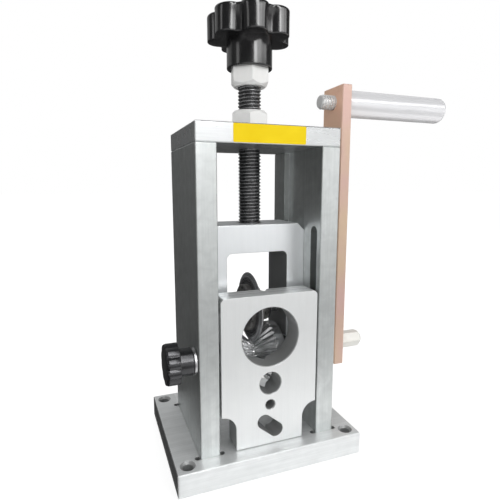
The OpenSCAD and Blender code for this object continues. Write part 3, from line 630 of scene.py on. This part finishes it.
def cut_thread_tree():
    """Geometry tree of a right-hand threaded rod along Z, standing on z = 0, closed at both ends."""
    tree, given, place, calc = new_shape_tree(
        "cut_thread",
        {
            "Radius": "Float",
            "Depth": "Float",
            "Pitch": "Float",
            "Length": "Float",
            "Chamfer": "Float",
            "Sides": "Int",
            "Turns": "Int",
            "Finish": "Material",
        },
    )
    columns = calc("MULTIPLY_ADD", given["Sides"], given["Turns"], 1.0)
    grid = add_node(
        tree, "GeometryNodeMeshGrid", {"Size X": 1.0, "Size Y": 1.0, "Vertices X": columns, "Vertices Y": 5}
    )
    turn = calc("MULTIPLY", calc("ADD", place[0], 0.5), given["Turns"])
    row = calc("ADD", place[1], 0.5)

    def along_row(points):
        curve = add_node(tree, "ShaderNodeFloatCurve", {"Value": row})
        handles = curve.mapping.curves[0].points
        handles[0].location = points[0]
        handles[1].location = points[-1]
        for x, y in points[1:-1]:
            handles.new(x, y)
        for handle in handles:
            handle.handle_type = "VECTOR"
        curve.mapping.update()
        return curve.outputs[0]

    step = along_row([(0.0, 0.0), (0.25, 0.24), (0.5, 0.54), (0.75, 0.70), (1.0, 1.0)])
    crest = along_row([(0.0, 0.0), (0.25, 0.0), (0.5, 1.0), (0.75, 1.0), (1.0, 0.0)])
    rise = calc("MULTIPLY", calc("ADD", calc("SUBTRACT", turn, 1.0), step), given["Pitch"])
    height = calc("MINIMUM", calc("MAXIMUM", rise, 0.0), given["Length"])
    cut = calc("MULTIPLY_ADD", calc("SUBTRACT", crest, 1.0), given["Depth"], given["Radius"])
    to_end = calc("MINIMUM", height, calc("SUBTRACT", given["Length"], height))
    taper = calc("MAXIMUM", calc("SUBTRACT", given["Chamfer"], to_end), 0.0)
    reach = calc("MINIMUM", cut, calc("SUBTRACT", given["Radius"], taper))
    angle = calc("MULTIPLY", turn, 2.0 * math.pi)
    spot = add_node(
        tree,
        "ShaderNodeCombineXYZ",
        {
            0: calc("MULTIPLY", reach, calc("COSINE", angle)),
            1: calc("MULTIPLY", reach, calc("SINE", angle)),
            2: height,
        },
    ).outputs[0]
    wound = add_node(
        tree, "GeometryNodeSetPosition", {"Geometry": grid.outputs[0], "Position": spot}
    ).outputs[0]
    end_reach = calc("SUBTRACT", given["Radius"], given["Chamfer"])
    disc = add_node(
        tree,
        "GeometryNodeMeshCircle",
        {"Vertices": given["Sides"], "Radius": end_reach},
        fill_type="TRIANGLE_FAN",
    ).outputs[0]
    foot = add_node(tree, "GeometryNodeFlipFaces", {0: disc}).outputs[0]
    lift = add_node(tree, "ShaderNodeCombineXYZ", {2: given["Length"]}).outputs[0]
    head = add_node(tree, "GeometryNodeTransform", {"Geometry": disc, "Translation": lift}).outputs[0]
    joined = add_node(tree, "GeometryNodeJoinGeometry")
    for part in (wound, foot, head):
        tree.links.new(part, joined.inputs[0])
    welded = add_node(
        tree, "GeometryNodeMergeByDistance", {"Geometry": joined.outputs[0], "Distance": 1e-6}
    ).outputs[0]
    return end_shape_tree(tree, welded, given["Finish"])


def grow(name, tree, values, seed_mesh=None):
    """Runs a geometry tree with its named inputs and keeps the result as a plain mesh object."""
    seed = bpy.data.objects.new(name + "_seed", seed_mesh or bpy.data.meshes.new(name + "_seed"))
    bpy.context.scene.collection.objects.link(seed)
    modifier = seed.modifiers.new("build", "NODES")
    modifier.node_group = tree
    for item in tree.interface.items_tree:
        if item.in_out == "INPUT" and item.name in values:
            modifier[item.identifier] = values[item.name]
    seed.update_tag()
    bpy.context.view_layer.update()
    graph = bpy.context.evaluated_depsgraph_get()
    data = bpy.data.meshes.new_from_object(seed.evaluated_get(graph), depsgraph=graph)
    seed.modifiers.remove(modifier)
    bpy.data.objects.remove(seed)
    data.name = name
    piece = bpy.data.objects.new(name, data)
    bpy.context.scene.collection.objects.link(piece)
    return piece


cut_thread = cut_thread_tree()


def threaded_rod(name, radius, pitch, length, finish, chamfer=None, sides=48):
    """A threaded rod standing on the origin along +Z."""
    depth = pitch * 0.36
    turns_past_the_ends = 2
    return grow(
        name,
        cut_thread,
        {
            "Radius": radius,
            "Depth": depth,
            "Pitch": pitch,
            "Length": length,
            "Chamfer": chamfer or depth * 1.15,
            "Sides": sides,
            "Turns": int(math.ceil(length / pitch)) + turns_past_the_ends,
            "Finish": finish,
        },
    )


def lathe_points(shape, profile, steps, to_place):
    """Spins (along, reach) points into a closed skin; to_place maps (x, y, z) into the frame."""
    rings = []
    for along, reach in profile:
        if reach < 1e-9:
            rings.append([shape.verts.new(to_place((0.0, 0.0, along)))])
            continue
        ring = []
        for k in range(steps):
            angle = 2 * math.pi * k / steps
            point = (reach * math.cos(angle), reach * math.sin(angle), along)
            ring.append(shape.verts.new(to_place(point)))
        rings.append(ring)
    for lower, upper in zip(rings, rings[1:]):
        for k in range(steps):
            m = (k + 1) % steps
            corners = [lower[k % len(lower)], lower[m % len(lower)]]
            corners += [upper[m % len(upper)], upper[k % len(upper)]]
            distinct = list(dict.fromkeys(corners))
            if len(distinct) > 2:
                shape.faces.new(distinct)


def smooth_by_angle(piece, degrees=32.0):
    """Smooth shading with sharp edges kept above the angle."""
    piece.data.shade_smooth()
    piece.data.set_sharp_from_angle(angle=math.radians(degrees))
    return piece


def join_into(keeper, *others):
    """Joins plain mesh objects into one."""
    with bpy.context.temp_override(
        active_object=keeper, selected_editable_objects=[keeper, *others], object=keeper
    ):
        bpy.ops.object.join()
    return keeper


def set_in_place(piece, offset, turn=None):
    """Turns each vertex with turn(x, y, z) and moves it by offset, so the object stays at the origin."""
    for vertex in piece.data.vertices:
        turned = Vector(turn(*vertex.co)) if turn else vertex.co
        vertex.co = turned + Vector(offset)
    piece.data.update()
    return piece


def z_to_x(x, y, z):
    """A quarter turn about Y that takes +Z to +X."""
    return (z, y, -x)


bolt_low, bolt_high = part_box("handle_bolt")
bolt_mid = (bolt_low + bolt_high) / 2
arm_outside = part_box("crank_arm")[0].x
bolt_r = 0.004
bolt_pitch = 0.0017
bolt_head_h = 0.0047
thread_in_arm = 0.003
key_socket_r = 0.0031
key_socket_depth = 0.003
drill_point_depth = 0.0036


def make_bolt_shank(shape):
    """Shank and head of the handle bolt, with a hexagon socket."""
    top = bolt_high.x
    head_r = (bolt_high.z - bolt_low.z) / 2
    start = arm_outside + thread_in_arm
    head_start = top - bolt_head_h
    profile = [
        (start, 0.0),
        (start, bolt_r * 0.97),
        (head_start, bolt_r * 0.97),
        (head_start, head_r),
        (top - 0.0008, head_r),
        (top - 0.0003, head_r - 0.0003),
        (top, head_r - 0.0008),
        (top, key_socket_r + 0.0004),
        (top - 0.0003, key_socket_r),
        (top - key_socket_depth, key_socket_r),
        (top - drill_point_depth, 0.0),
    ]

    def to_place(point):
        x, y, z = point
        reach = math.hypot(x, y)
        if abs(reach - key_socket_r) < 1e-6:
            angle = math.atan2(y, x) % (math.pi / 3) - math.pi / 6
            reach = key_socket_r * math.cos(math.pi / 6) / math.cos(angle)
            x, y = (v * reach / key_socket_r for v in (x, y))
        return (z, bolt_mid.y + y, bolt_mid.z - x)

    lathe_points(shape, profile, 72, to_place)


stub_len = arm_outside - bolt_low.x + thread_in_arm
bolt_stub = threaded_rod("handle_bolt_thread", bolt_r, bolt_pitch, stub_len, zinc_plate)
set_in_place(bolt_stub, (bolt_low.x, bolt_mid.y, bolt_mid.z), z_to_x)
bolt_shank = mesh_object("handle_bolt_piece", make_bolt_shank)
bolt_shank.data.materials.append(zinc_plate)
handle_bolt = smooth_by_angle(join_into(bolt_shank, bolt_stub))
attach(handle_bolt, "drive")
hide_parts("handle_bolt")


# Pressure screw: M12 threaded rod with a black oxide finish, a plain journal
# at its foot in the fork, and its end showing above the star knob.

screw_low, screw_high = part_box("pressure_screw")
screw_mid = (screw_low + screw_high) / 2
screw_r = (screw_high.x - screw_low.x) / 2
screw_pitch = 0.00175
screw_chamfer = 0.0018
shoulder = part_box("carriage")[1].z - 0.0022
journal_r = 0.004
groove_depth = 0.0005
kept_inside = 1e-6
# Its rod setting paints shade into the thread's roots.
screw_finish = oxide_steel(
    "pressure_screw_oxide",
    (0.20, 0.20, 0.206),
    (0.40, 0.40, 0.408),
    (0.2, 0.32),
    rod=((screw_mid.x, screw_mid.y), screw_r - 0.0005, screw_r - 0.0001),
)
screw_len = screw_high.z - shoulder - kept_inside
rod = threaded_rod(
    "pressure_screw_thread", screw_r, screw_pitch, screw_len, screw_finish, screw_chamfer, 64
)
set_in_place(rod, (screw_mid.x, screw_mid.y, shoulder))


def make_journal(shape):
    """The journal below the shoulder, with its clip groove."""
    clip_low, clip_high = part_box("end_clip")
    journal_top = shoulder + 0.001
    profile = [
        (screw_low.z, 0.0),
        (screw_low.z, journal_r - groove_depth),
        (screw_low.z + groove_depth, journal_r),
        (clip_low.z, journal_r),
        (clip_low.z, journal_r - groove_depth),
        (clip_high.z, journal_r - groove_depth),
        (clip_high.z, journal_r),
        (journal_top, journal_r),
        (journal_top, 0.0),
    ]
    lathe_points(shape, profile, 64, lambda p: (screw_mid.x + p[0], screw_mid.y + p[1], p[2]))


journal = mesh_object("pressure_screw_piece", make_journal)
journal.data.materials.append(screw_finish)
pressure_screw = smooth_by_angle(join_into(journal, rod))
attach(pressure_screw, "spindle")
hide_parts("pressure_screw")
dress(ground_steel, "end_washer", "knob_insert")


# Nuts: one locks the screw on the top bar and one jams the star knob. Cold
# formed, bright zinc, with chamfered corners; they are nearly white.

nut_plate = milled_metal(
    "nut_zinc",
    (0.91, 0.91, 0.895),
    (0.95, 0.95, 0.935),
    2,
    rough=(0.3, 0.38),
    bump=0.002,
    wear=0.0003,
    metallic=0.1,
)
dress(nut_plate, "jam_nut", "lock_nut")


# Star knob: compression-moulded black plastic, glossy, seven lobes that run out
# a little towards its top, moulded over a metal insert on the screw.


def lobes_tree():
    """Geometry tree that draws a round rim into lobes with a floor between them, as far as the
    skin's "lobed" attribute says."""
    tree, given, place, calc = new_shape_tree(
        "lobes_round_an_axis",
        {
            "Geometry": "Geometry",
            "Count": "Int",
            "Rim Radius": "Float",
            "Lobe Radius": "Float",
            "Floor Radius": "Float",
            "Blend": "Float",
            "Turn": "Float",
            "Finish": "Material",
        },
    )
    angle = calc("SUBTRACT", calc("ARCTAN2", place[1], place[0]), given["Turn"])
    step = calc("DIVIDE", 2.0 * math.pi, given["Count"])
    turns = calc("DIVIDE", angle, step)
    from_tip = calc("MULTIPLY", calc("SUBTRACT", turns, calc("ROUND", turns)), step)
    centre = calc("SUBTRACT", given["Rim Radius"], given["Lobe Radius"])
    aside = calc("MULTIPLY", centre, calc("SINE", from_tip))
    room = calc("SUBTRACT", calc("POWER", given["Lobe Radius"], 2.0), calc("POWER", aside, 2.0))
    lobe = calc("MULTIPLY_ADD", centre, calc("COSINE", from_tip), calc("SQRT", calc("MAXIMUM", room, 0.0)))
    outline = calc("SMOOTH_MAX", lobe, given["Floor Radius"], given["Blend"])
    drawn_in = calc("SUBTRACT", given["Rim Radius"], calc("MINIMUM", outline, given["Rim Radius"]))
    lobed = add_node(
        tree, "GeometryNodeInputNamedAttribute", {"Name": "lobed"}, data_type="FLOAT"
    ).outputs[0]
    loss = calc("MULTIPLY", drawn_in, lobed)
    reach = calc("SQRT", calc("ADD", calc("POWER", place[0], 2.0), calc("POWER", place[1], 2.0)))
    share = calc("DIVIDE", calc("SUBTRACT", reach, loss), calc("MAXIMUM", reach, 1e-6))
    spot = add_node(
        tree,
        "ShaderNodeCombineXYZ",
        {0: calc("MULTIPLY", place[0], share), 1: calc("MULTIPLY", place[1], share), 2: place[2]},
    ).outputs[0]
    moved = add_node(
        tree, "GeometryNodeSetPosition", {"Geometry": given["Geometry"], "Position": spot}
    ).outputs[0]
    return end_shape_tree(tree, moved, given["Finish"])


def moulded_black(name, rough, colour=(0.006, 0.006, 0.0065), worn=(0.02, 0.02, 0.021), metallic=0.0):
    """Black skin with a faint orange peel, greyer along handled edges."""
    material, tree, surface = new_material(name)
    place = object_place(tree)
    peel = noise(tree, place, 420.0)
    smear = noise(tree, place, 70.0, 4.0)
    edge = add_node(tree, "ShaderNodeGroup", {"Radius": 0.0005}, node_tree=worn_edge).outputs
    smeared = [v * 1.7 for v in colour]
    skin = mix_colour(tree, spread(tree, smear, 0.0, 1.0), (*colour, 1), (*smeared, 1))
    share = spread(tree, edge["Mask"], 0.0, 0.5, 0.0, 1.0)
    finish_surface(
        tree,
        surface,
        mix_colour(tree, share, skin, (*worn, 1)),
        spread(tree, smear, rough[0], rough[1]),
        raised(tree, peel, 0.04, 0.0002),
        {
            "Metallic": metallic,
            "Specular IOR Level": 0.8,
            "Coat Weight": 0.4,
            "Coat Roughness": 0.18,
        },
    )
    return material


def arc_points(centre, radius, start, end, steps):
    """(along, reach) points of an arc in a lathe profile; angles from the reach axis towards along."""
    points = []
    for k in range(steps + 1):
        angle = math.radians(start + (end - start) * k / steps)
        points.append((centre[0] + radius * math.sin(angle), centre[1] + radius * math.cos(angle)))
    return points


def knob_skin(name, profile, lobed_from, steps):
    """A spun skin on the Z axis whose "lobed" attribute grows past lobed_from(along, reach)."""
    skin = mesh_object(name, lambda shape: lathe_points(shape, profile, steps, lambda p: p))
    marks = skin.data.attributes.new("lobed", "FLOAT", "POINT")
    for vertex, mark in zip(skin.data.vertices, marks.data):
        mark.value = lobed_from(vertex.co.z, math.hypot(vertex.co.x, vertex.co.y))
    data = skin.data
    bpy.data.objects.remove(skin)
    return data


lobes = lobes_tree()
knob_low, knob_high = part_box("star_knob")
insert_low, insert_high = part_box("knob_insert")
knob_r = 0.0218
hub_r = 0.0118
hub_edge = 0.0005
head_z = 0.0135
head_edge = 0.0004
rim_edge = 0.0014
knob_h = knob_high.z - knob_low.z
bore_r = 0.006
insert_r = (insert_high.x - insert_low.x) / 2
insert_h = insert_high.z - insert_low.z
lobed_from_r = 0.0125
top_zone = 0.0060
knob_profile = [
    (insert_h, bore_r),
    (insert_h, insert_r),
    (0.0, insert_r),
    *arc_points((hub_edge, hub_r - hub_edge), hub_edge, -90, 0, 4),
    (0.0009, hub_r),
    (head_z, hub_r),
    (head_z, 0.0150),
    (head_z, 0.0175),
    *arc_points((head_z + head_edge, knob_r - head_edge), head_edge, -90, 0, 3),
    (head_z + 0.0010, knob_r),
    (knob_h - top_zone, knob_r),
    (knob_h - 0.0028, knob_r),
    *arc_points((knob_h - 0.0018, knob_r - rim_edge), rim_edge, 0, 75, 6),
    (knob_h - 0.0002, knob_r - 0.0050),
    (knob_h, 0.0130),
    (knob_h, 0.0095),
    (knob_h - 0.0004, bore_r + 0.0006),
    (knob_h - 0.0008, bore_r),
    (insert_h, bore_r),
]


def star_lobed(along, reach):
    """How far the head follows the lobes: not at the hub, wholly at the rim, a little less at the top."""
    if along < head_z - 1e-6:
        return 0.0
    outwards = min(1.0, max(0.0, (reach - lobed_from_r) / (knob_r - 0.0065 - lobed_from_r)))
    upwards = min(1.0, max(0.0, (along - knob_h + top_zone) / top_zone))
    return outwards * (1.0 - 0.3 * upwards)


star_knob = grow(
    "star_knob_piece",
    lobes,
    {
        "Count": 7,
        "Rim Radius": knob_r,
        "Lobe Radius": 0.0063,
        "Floor Radius": 0.0172,
        "Blend": 0.0008,
        "Turn": math.radians(-101.1),
        "Finish": moulded_black("glossy_thermoset", (0.14, 0.26)),
    },
    knob_skin("star_knob_skin", knob_profile, star_lobed, 168),
)
set_in_place(star_knob, (0.0, screw_mid.y, knob_low.z))
smooth_by_angle(star_knob, 40)
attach(star_knob, "spindle")
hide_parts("star_knob")


# Clamping knob on the left: small fluted knob in satin black plastic. Its
# threaded stud has a ring against the hub and presses on the guide plate's edge.

clamp_low, clamp_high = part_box("lock_knob")
clamp_mid = (clamp_low + clamp_high) / 2
clamp_len = clamp_high.x - clamp_low.x
head_r = 0.0102
head_t = 0.007
under_head = clamp_len - head_t
under_edge = 0.0005
end_edge = 0.0012
stem_r = 0.00675
stem_edge = 0.0004
stud_r = 0.004
stud_pitch = 0.00125
stud_chamfer = 0.001
stud_depth = clamp_len - 0.003
flute_from_r = 0.0082
clamp_profile = [
    (stud_depth, 0.0),
    (stud_depth, stud_r),
    (0.0, stud_r),
    (0.0, stem_r - stem_edge),
    (stem_edge, stem_r),
    (under_head - stem_edge, stem_r),
    (under_head, stem_r + stem_edge),
    (under_head, head_r - end_edge),
    *arc_points((under_head + under_edge, head_r - under_edge), under_edge, -90, 0, 4),
    (clamp_len - 0.0040, head_r),
    (clamp_len - 0.0022, head_r),
    *arc_points((clamp_len - 0.0016, head_r - end_edge), end_edge, 0, 70, 5),
    (clamp_len - 0.0002, head_r * 0.6),
    (clamp_len, head_r * 0.3),
    (clamp_len, 0.0),
]


def clamp_lobed(along, reach):
    """Flutes run along the head's rim and fade out on its domed end."""
    if along < under_head - 1e-6:
        return 0.0
    return min(1.0, max(0.0, (reach - flute_from_r) / 0.0014))


clamp_knob = grow(
    "clamp_knob_piece",
    lobes,
    {
        "Count": 10,
        "Rim Radius": head_r,
        "Lobe Radius": 0.0036,
        "Floor Radius": 0.0088,
        "Blend": 0.0003,
        "Turn": 0.1,
        "Finish": moulded_black(
            "satin_black", (0.24, 0.34), (0.04, 0.04, 0.043), (0.14, 0.14, 0.145), metallic=0.8
        ),
    },
    knob_skin("clamp_knob_skin", clamp_profile, clamp_lobed, 192),
)
set_in_place(clamp_knob, (clamp_high.x, clamp_mid.y, clamp_mid.z), lambda x, y, z: (-z, y, x))
smooth_by_angle(clamp_knob, 40)
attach(clamp_knob, "clamp")
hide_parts("lock_knob")
stud_low, stud_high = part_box("lock_knob_screw")
stud_len = stud_high.x - stud_low.x
clamp_stud = threaded_rod("clamp_stud_piece", stud_r, stud_pitch, stud_len, zinc_plate, stud_chamfer)
set_in_place(clamp_stud, (stud_low.x, clamp_mid.y, clamp_mid.z), z_to_x)
ring_t = 0.0016
ring_edge = 0.0003
ring_bore = stud_r * 0.9
ring_profile = [
    (0.0, ring_bore),
    (0.0, stem_r - ring_edge),
    (ring_edge, stem_r),
    (ring_t - ring_edge, stem_r),
    (ring_t, stem_r - ring_edge),
    (ring_t, ring_bore),
    (0.0, ring_bore),
]


def in_clamp_axis(point):
    """Takes a lathe point onto the clamping screw's axis, from the hub's end towards the plate."""
    x, y, z = point
    return (clamp_high.x + z, clamp_mid.y + y, clamp_mid.z - x)


clamp_ring = mesh_object(
    "clamp_ring", lambda shape: lathe_points(shape, ring_profile, 72, in_clamp_axis)
)
clamp_ring.data.materials.append(axle_metal)
smooth_by_angle(join_into(clamp_stud, clamp_ring))
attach(clamp_stud, "clamp")
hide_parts("lock_knob_screw")


# Floor, lamps and camera: a pale table in a white surround, as in a product
# photo. Dark cards and bright windows round the machine show in its reflections
# only; three soft boxes and the surround give the light.


def stage_plane(name, corners, material):
    """A flat sheet from four corners."""
    data = bpy.data.meshes.new(name)
    data.from_pydata(corners, [], [(0, 1, 2, 3)])
    data.materials.append(material)
    sheet = bpy.data.objects.new(name, data)
    bpy.context.scene.collection.objects.link(sheet)
    return sheet


def shown_as_it_is(tree):
    """1 for rays that show a surface directly, in a reflection or through glass; 0 for its light."""
    ray = add_node(tree, "ShaderNodeLightPath").outputs
    mirrored = add_node(
        tree,
        "ShaderNodeMath",
        {0: ray["Is Glossy Ray"], 1: ray["Is Transmission Ray"]},
        operation="MAXIMUM",
    ).outputs[0]
    return add_node(
        tree, "ShaderNodeMath", {0: ray["Is Camera Ray"], 1: mirrored}, operation="MAXIMUM"
    ).outputs[0]


def floor_paint():
    """Pale matt paint that shows white, but for the soft shadow on it."""
    material, tree, surface = new_material("floor_paint")
    soft = noise(tree, object_place(tree), 3.0)
    pale = mix_colour(tree, soft, (0.80, 0.80, 0.80, 1), (0.84, 0.84, 0.84, 1))
    dim = mix_colour(tree, soft, (0.34, 0.34, 0.34, 1), (0.36, 0.36, 0.36, 1))
    matt = add_node(tree, "ShaderNodeBsdfDiffuse", {"Color": pale}).outputs[0]
    shaded = add_node(tree, "ShaderNodeBsdfDiffuse", {"Color": dim}).outputs[0]
    glow = add_node(tree, "ShaderNodeEmission", {"Strength": 0.80}).outputs[0]
    lit = add_node(tree, "ShaderNodeAddShader", {0: shaded, 1: glow}).outputs[0]
    mixed = add_node(tree, "ShaderNodeMixShader", {0: shown_as_it_is(tree), 1: matt, 2: lit})
    tree.links.new(mixed.outputs[0], surface)
    return material


def reflection_card(name, value, low, high):
    """A card between two edges, seen in reflections only; each edge is its two end points."""
    material, tree, surface = new_material(name + "_paint")
    glow = add_node(
        tree, "ShaderNodeEmission", {"Color": (value, value, value, 1), "Strength": 1.0}
    )
    tree.links.new(glow.outputs[0], surface)
    card = stage_plane(name, [*low, *reversed(high)], material)
    card.visible_camera = False
    card.visible_diffuse = False
    card.visible_shadow = False
    card.visible_transmission = False
    return card


floor_z = -0.0002
stage_plane(
    "floor", [(-8, -8, floor_z), (8, -8, floor_z), (8, 8, floor_z), (-8, 8, floor_z)], floor_paint()
)
for name, value, low_edge, high_edge in (
    ("dark_table_card", 0.05, [(-1.5, 0.06, 0), (1.5, 0.06, 0)], [(-1.5, 1.0, 0), (1.5, 1.0, 0)]),
    (
        "dark_side_card",
        0.05,
        [(-1.5, -0.3, 0), (-0.0505, -0.3, 0)],
        [(-1.5, 0.06, 0), (-0.0505, 0.06, 0)],
    ),
    ("grey_table_card", 0.4, [(-0.4, -0.6, 0), (0.8, -0.6, 0)], [(-0.4, -0.12, 0), (0.8, -0.12, 0)]),
    ("dim_left_card", 0.2, [(-1.2, -0.9, 0), (-1.2, 1.0, 0)], [(-1.2, -0.9, 0.5), (-1.2, 1.0, 0.5)]),
    ("dark_back_card", 0.07, [(-2.0, 1.0, 0), (2.0, 1.0, 0)], [(-2.0, 1.0, 0.45), (2.0, 1.0, 0.45)]),
    ("grey_back_card", 0.4, [(-2.0, 1.0, 0.45), (2.0, 1.0, 0.45)], [(-2.0, 0.5, 1.5), (2.0, 0.5, 1.5)]),
    (
        "high_front_card",
        0.08,
        [(-2.0, -1.5, 0.5), (2.0, -1.5, 0.5)],
        [(-2.0, 0.5, 1.5), (2.0, 0.5, 1.5)],
    ),
    (
        "high_left_card",
        0.08,
        [(-1.6, -1.5, 0.5), (-1.6, 1.0, 0.5)],
        [(-1.0, -1.5, 1.5), (-1.0, 1.0, 1.5)],
    ),
    (
        "high_right_card",
        0.08,
        [(1.6, -1.5, 0.5), (1.6, 1.0, 0.5)],
        [(1.0, -1.5, 1.5), (1.0, 1.0, 1.5)],
    ),
):
    reflection_card(name, value, low_edge, high_edge)
for name, value, start, end, low_z, high_z in (
    ("front_window", 9.0, (0.05, -1.0), (0.3, -0.95), 0.45, 0.62),
    ("wide_window", 4.5, (0.3, -0.95), (0.6, -0.7), 0.45, 0.62),
    ("side_window", 2.6, (0.6, -0.7), (0.9, -0.3), 0.45, 0.62),
    ("clamp_window", 7.0, (-0.1, -0.7), (0.15, -0.7), 0.48, 0.88),
):
    reflection_card(name, value, [(*start, low_z), (*end, low_z)], [(*start, high_z), (*end, high_z)])
reflection_card(
    "upper_window", 5.0, [(-0.1, -0.7, 0.88), (0.15, -0.7, 0.88)], [(-0.1, -0.3, 1.05), (0.15, -0.3, 1.05)]
)
reflection_card(
    "left_window", 1.5, [(-1.0, -0.3, 0.4), (-1.0, -0.05, 0.4)], [(-1.0, -0.3, 0.72), (-1.0, -0.05, 0.72)]
)


def surround():
    """White wherever it is seen, and a plain level of light."""
    light_level = 0.62
    world = bpy.data.worlds.new("surround")
    bpy.context.scene.world = world
    world.use_nodes = True
    tree = world.node_tree
    tree.nodes.clear()
    strength = spread(tree, shown_as_it_is(tree), light_level, 1.0, 0.0, 1.0)
    light = add_node(tree, "ShaderNodeBackground", {"Color": (1, 1, 1, 1), "Strength": strength})
    out = add_node(tree, "ShaderNodeOutputWorld")
    tree.links.new(light.outputs[0], out.inputs["Surface"])


surround()


def soft_box(name, place, aim, size, power):
    """A rectangular soft lamp that reflections don't see."""
    lamp = bpy.data.lights.new(name, "AREA")
    lamp.shape = "RECTANGLE"
    lamp.size, lamp.size_y = size
    lamp.energy = power
    piece = bpy.data.objects.new(name, lamp)
    piece.location = place
    piece.rotation_euler = (Vector(aim) - Vector(place)).to_track_quat("-Z", "Y").to_euler()
    piece.visible_glossy = False
    bpy.context.scene.collection.objects.link(piece)


middle = (0.0, 0.0, 0.12)
soft_box("key_box", (0.55, -0.85, 0.55), middle, (0.5, 0.6), 3.2)
soft_box("fill_box", (-0.75, -0.55, 0.35), middle, (0.25, 0.7), 1.2)
soft_box("top_box", (0.1, 0.2, 0.95), middle, (0.7, 0.7), 2.5)

photo_width = 500.0
photo_focal = 417.68
camera_dip = 8.68
camera_turn = 20.71
camera_data = bpy.data.cameras.new("camera")
camera_data.sensor_width = 36.0
camera_data.lens = 36.0 * photo_focal / photo_width
camera_data.clip_start = 0.01
camera_data.clip_end = 50.0
camera = bpy.data.objects.new("camera", camera_data)
camera.location = (-0.08067, -0.21549, 0.14483)
camera.rotation_euler = (math.radians(90 - camera_dip), 0.0, math.radians(-camera_turn))
bpy.context.scene.collection.objects.link(camera)
bpy.context.scene.camera = camera
bpy.context.scene.view_settings.view_transform = "Standard"
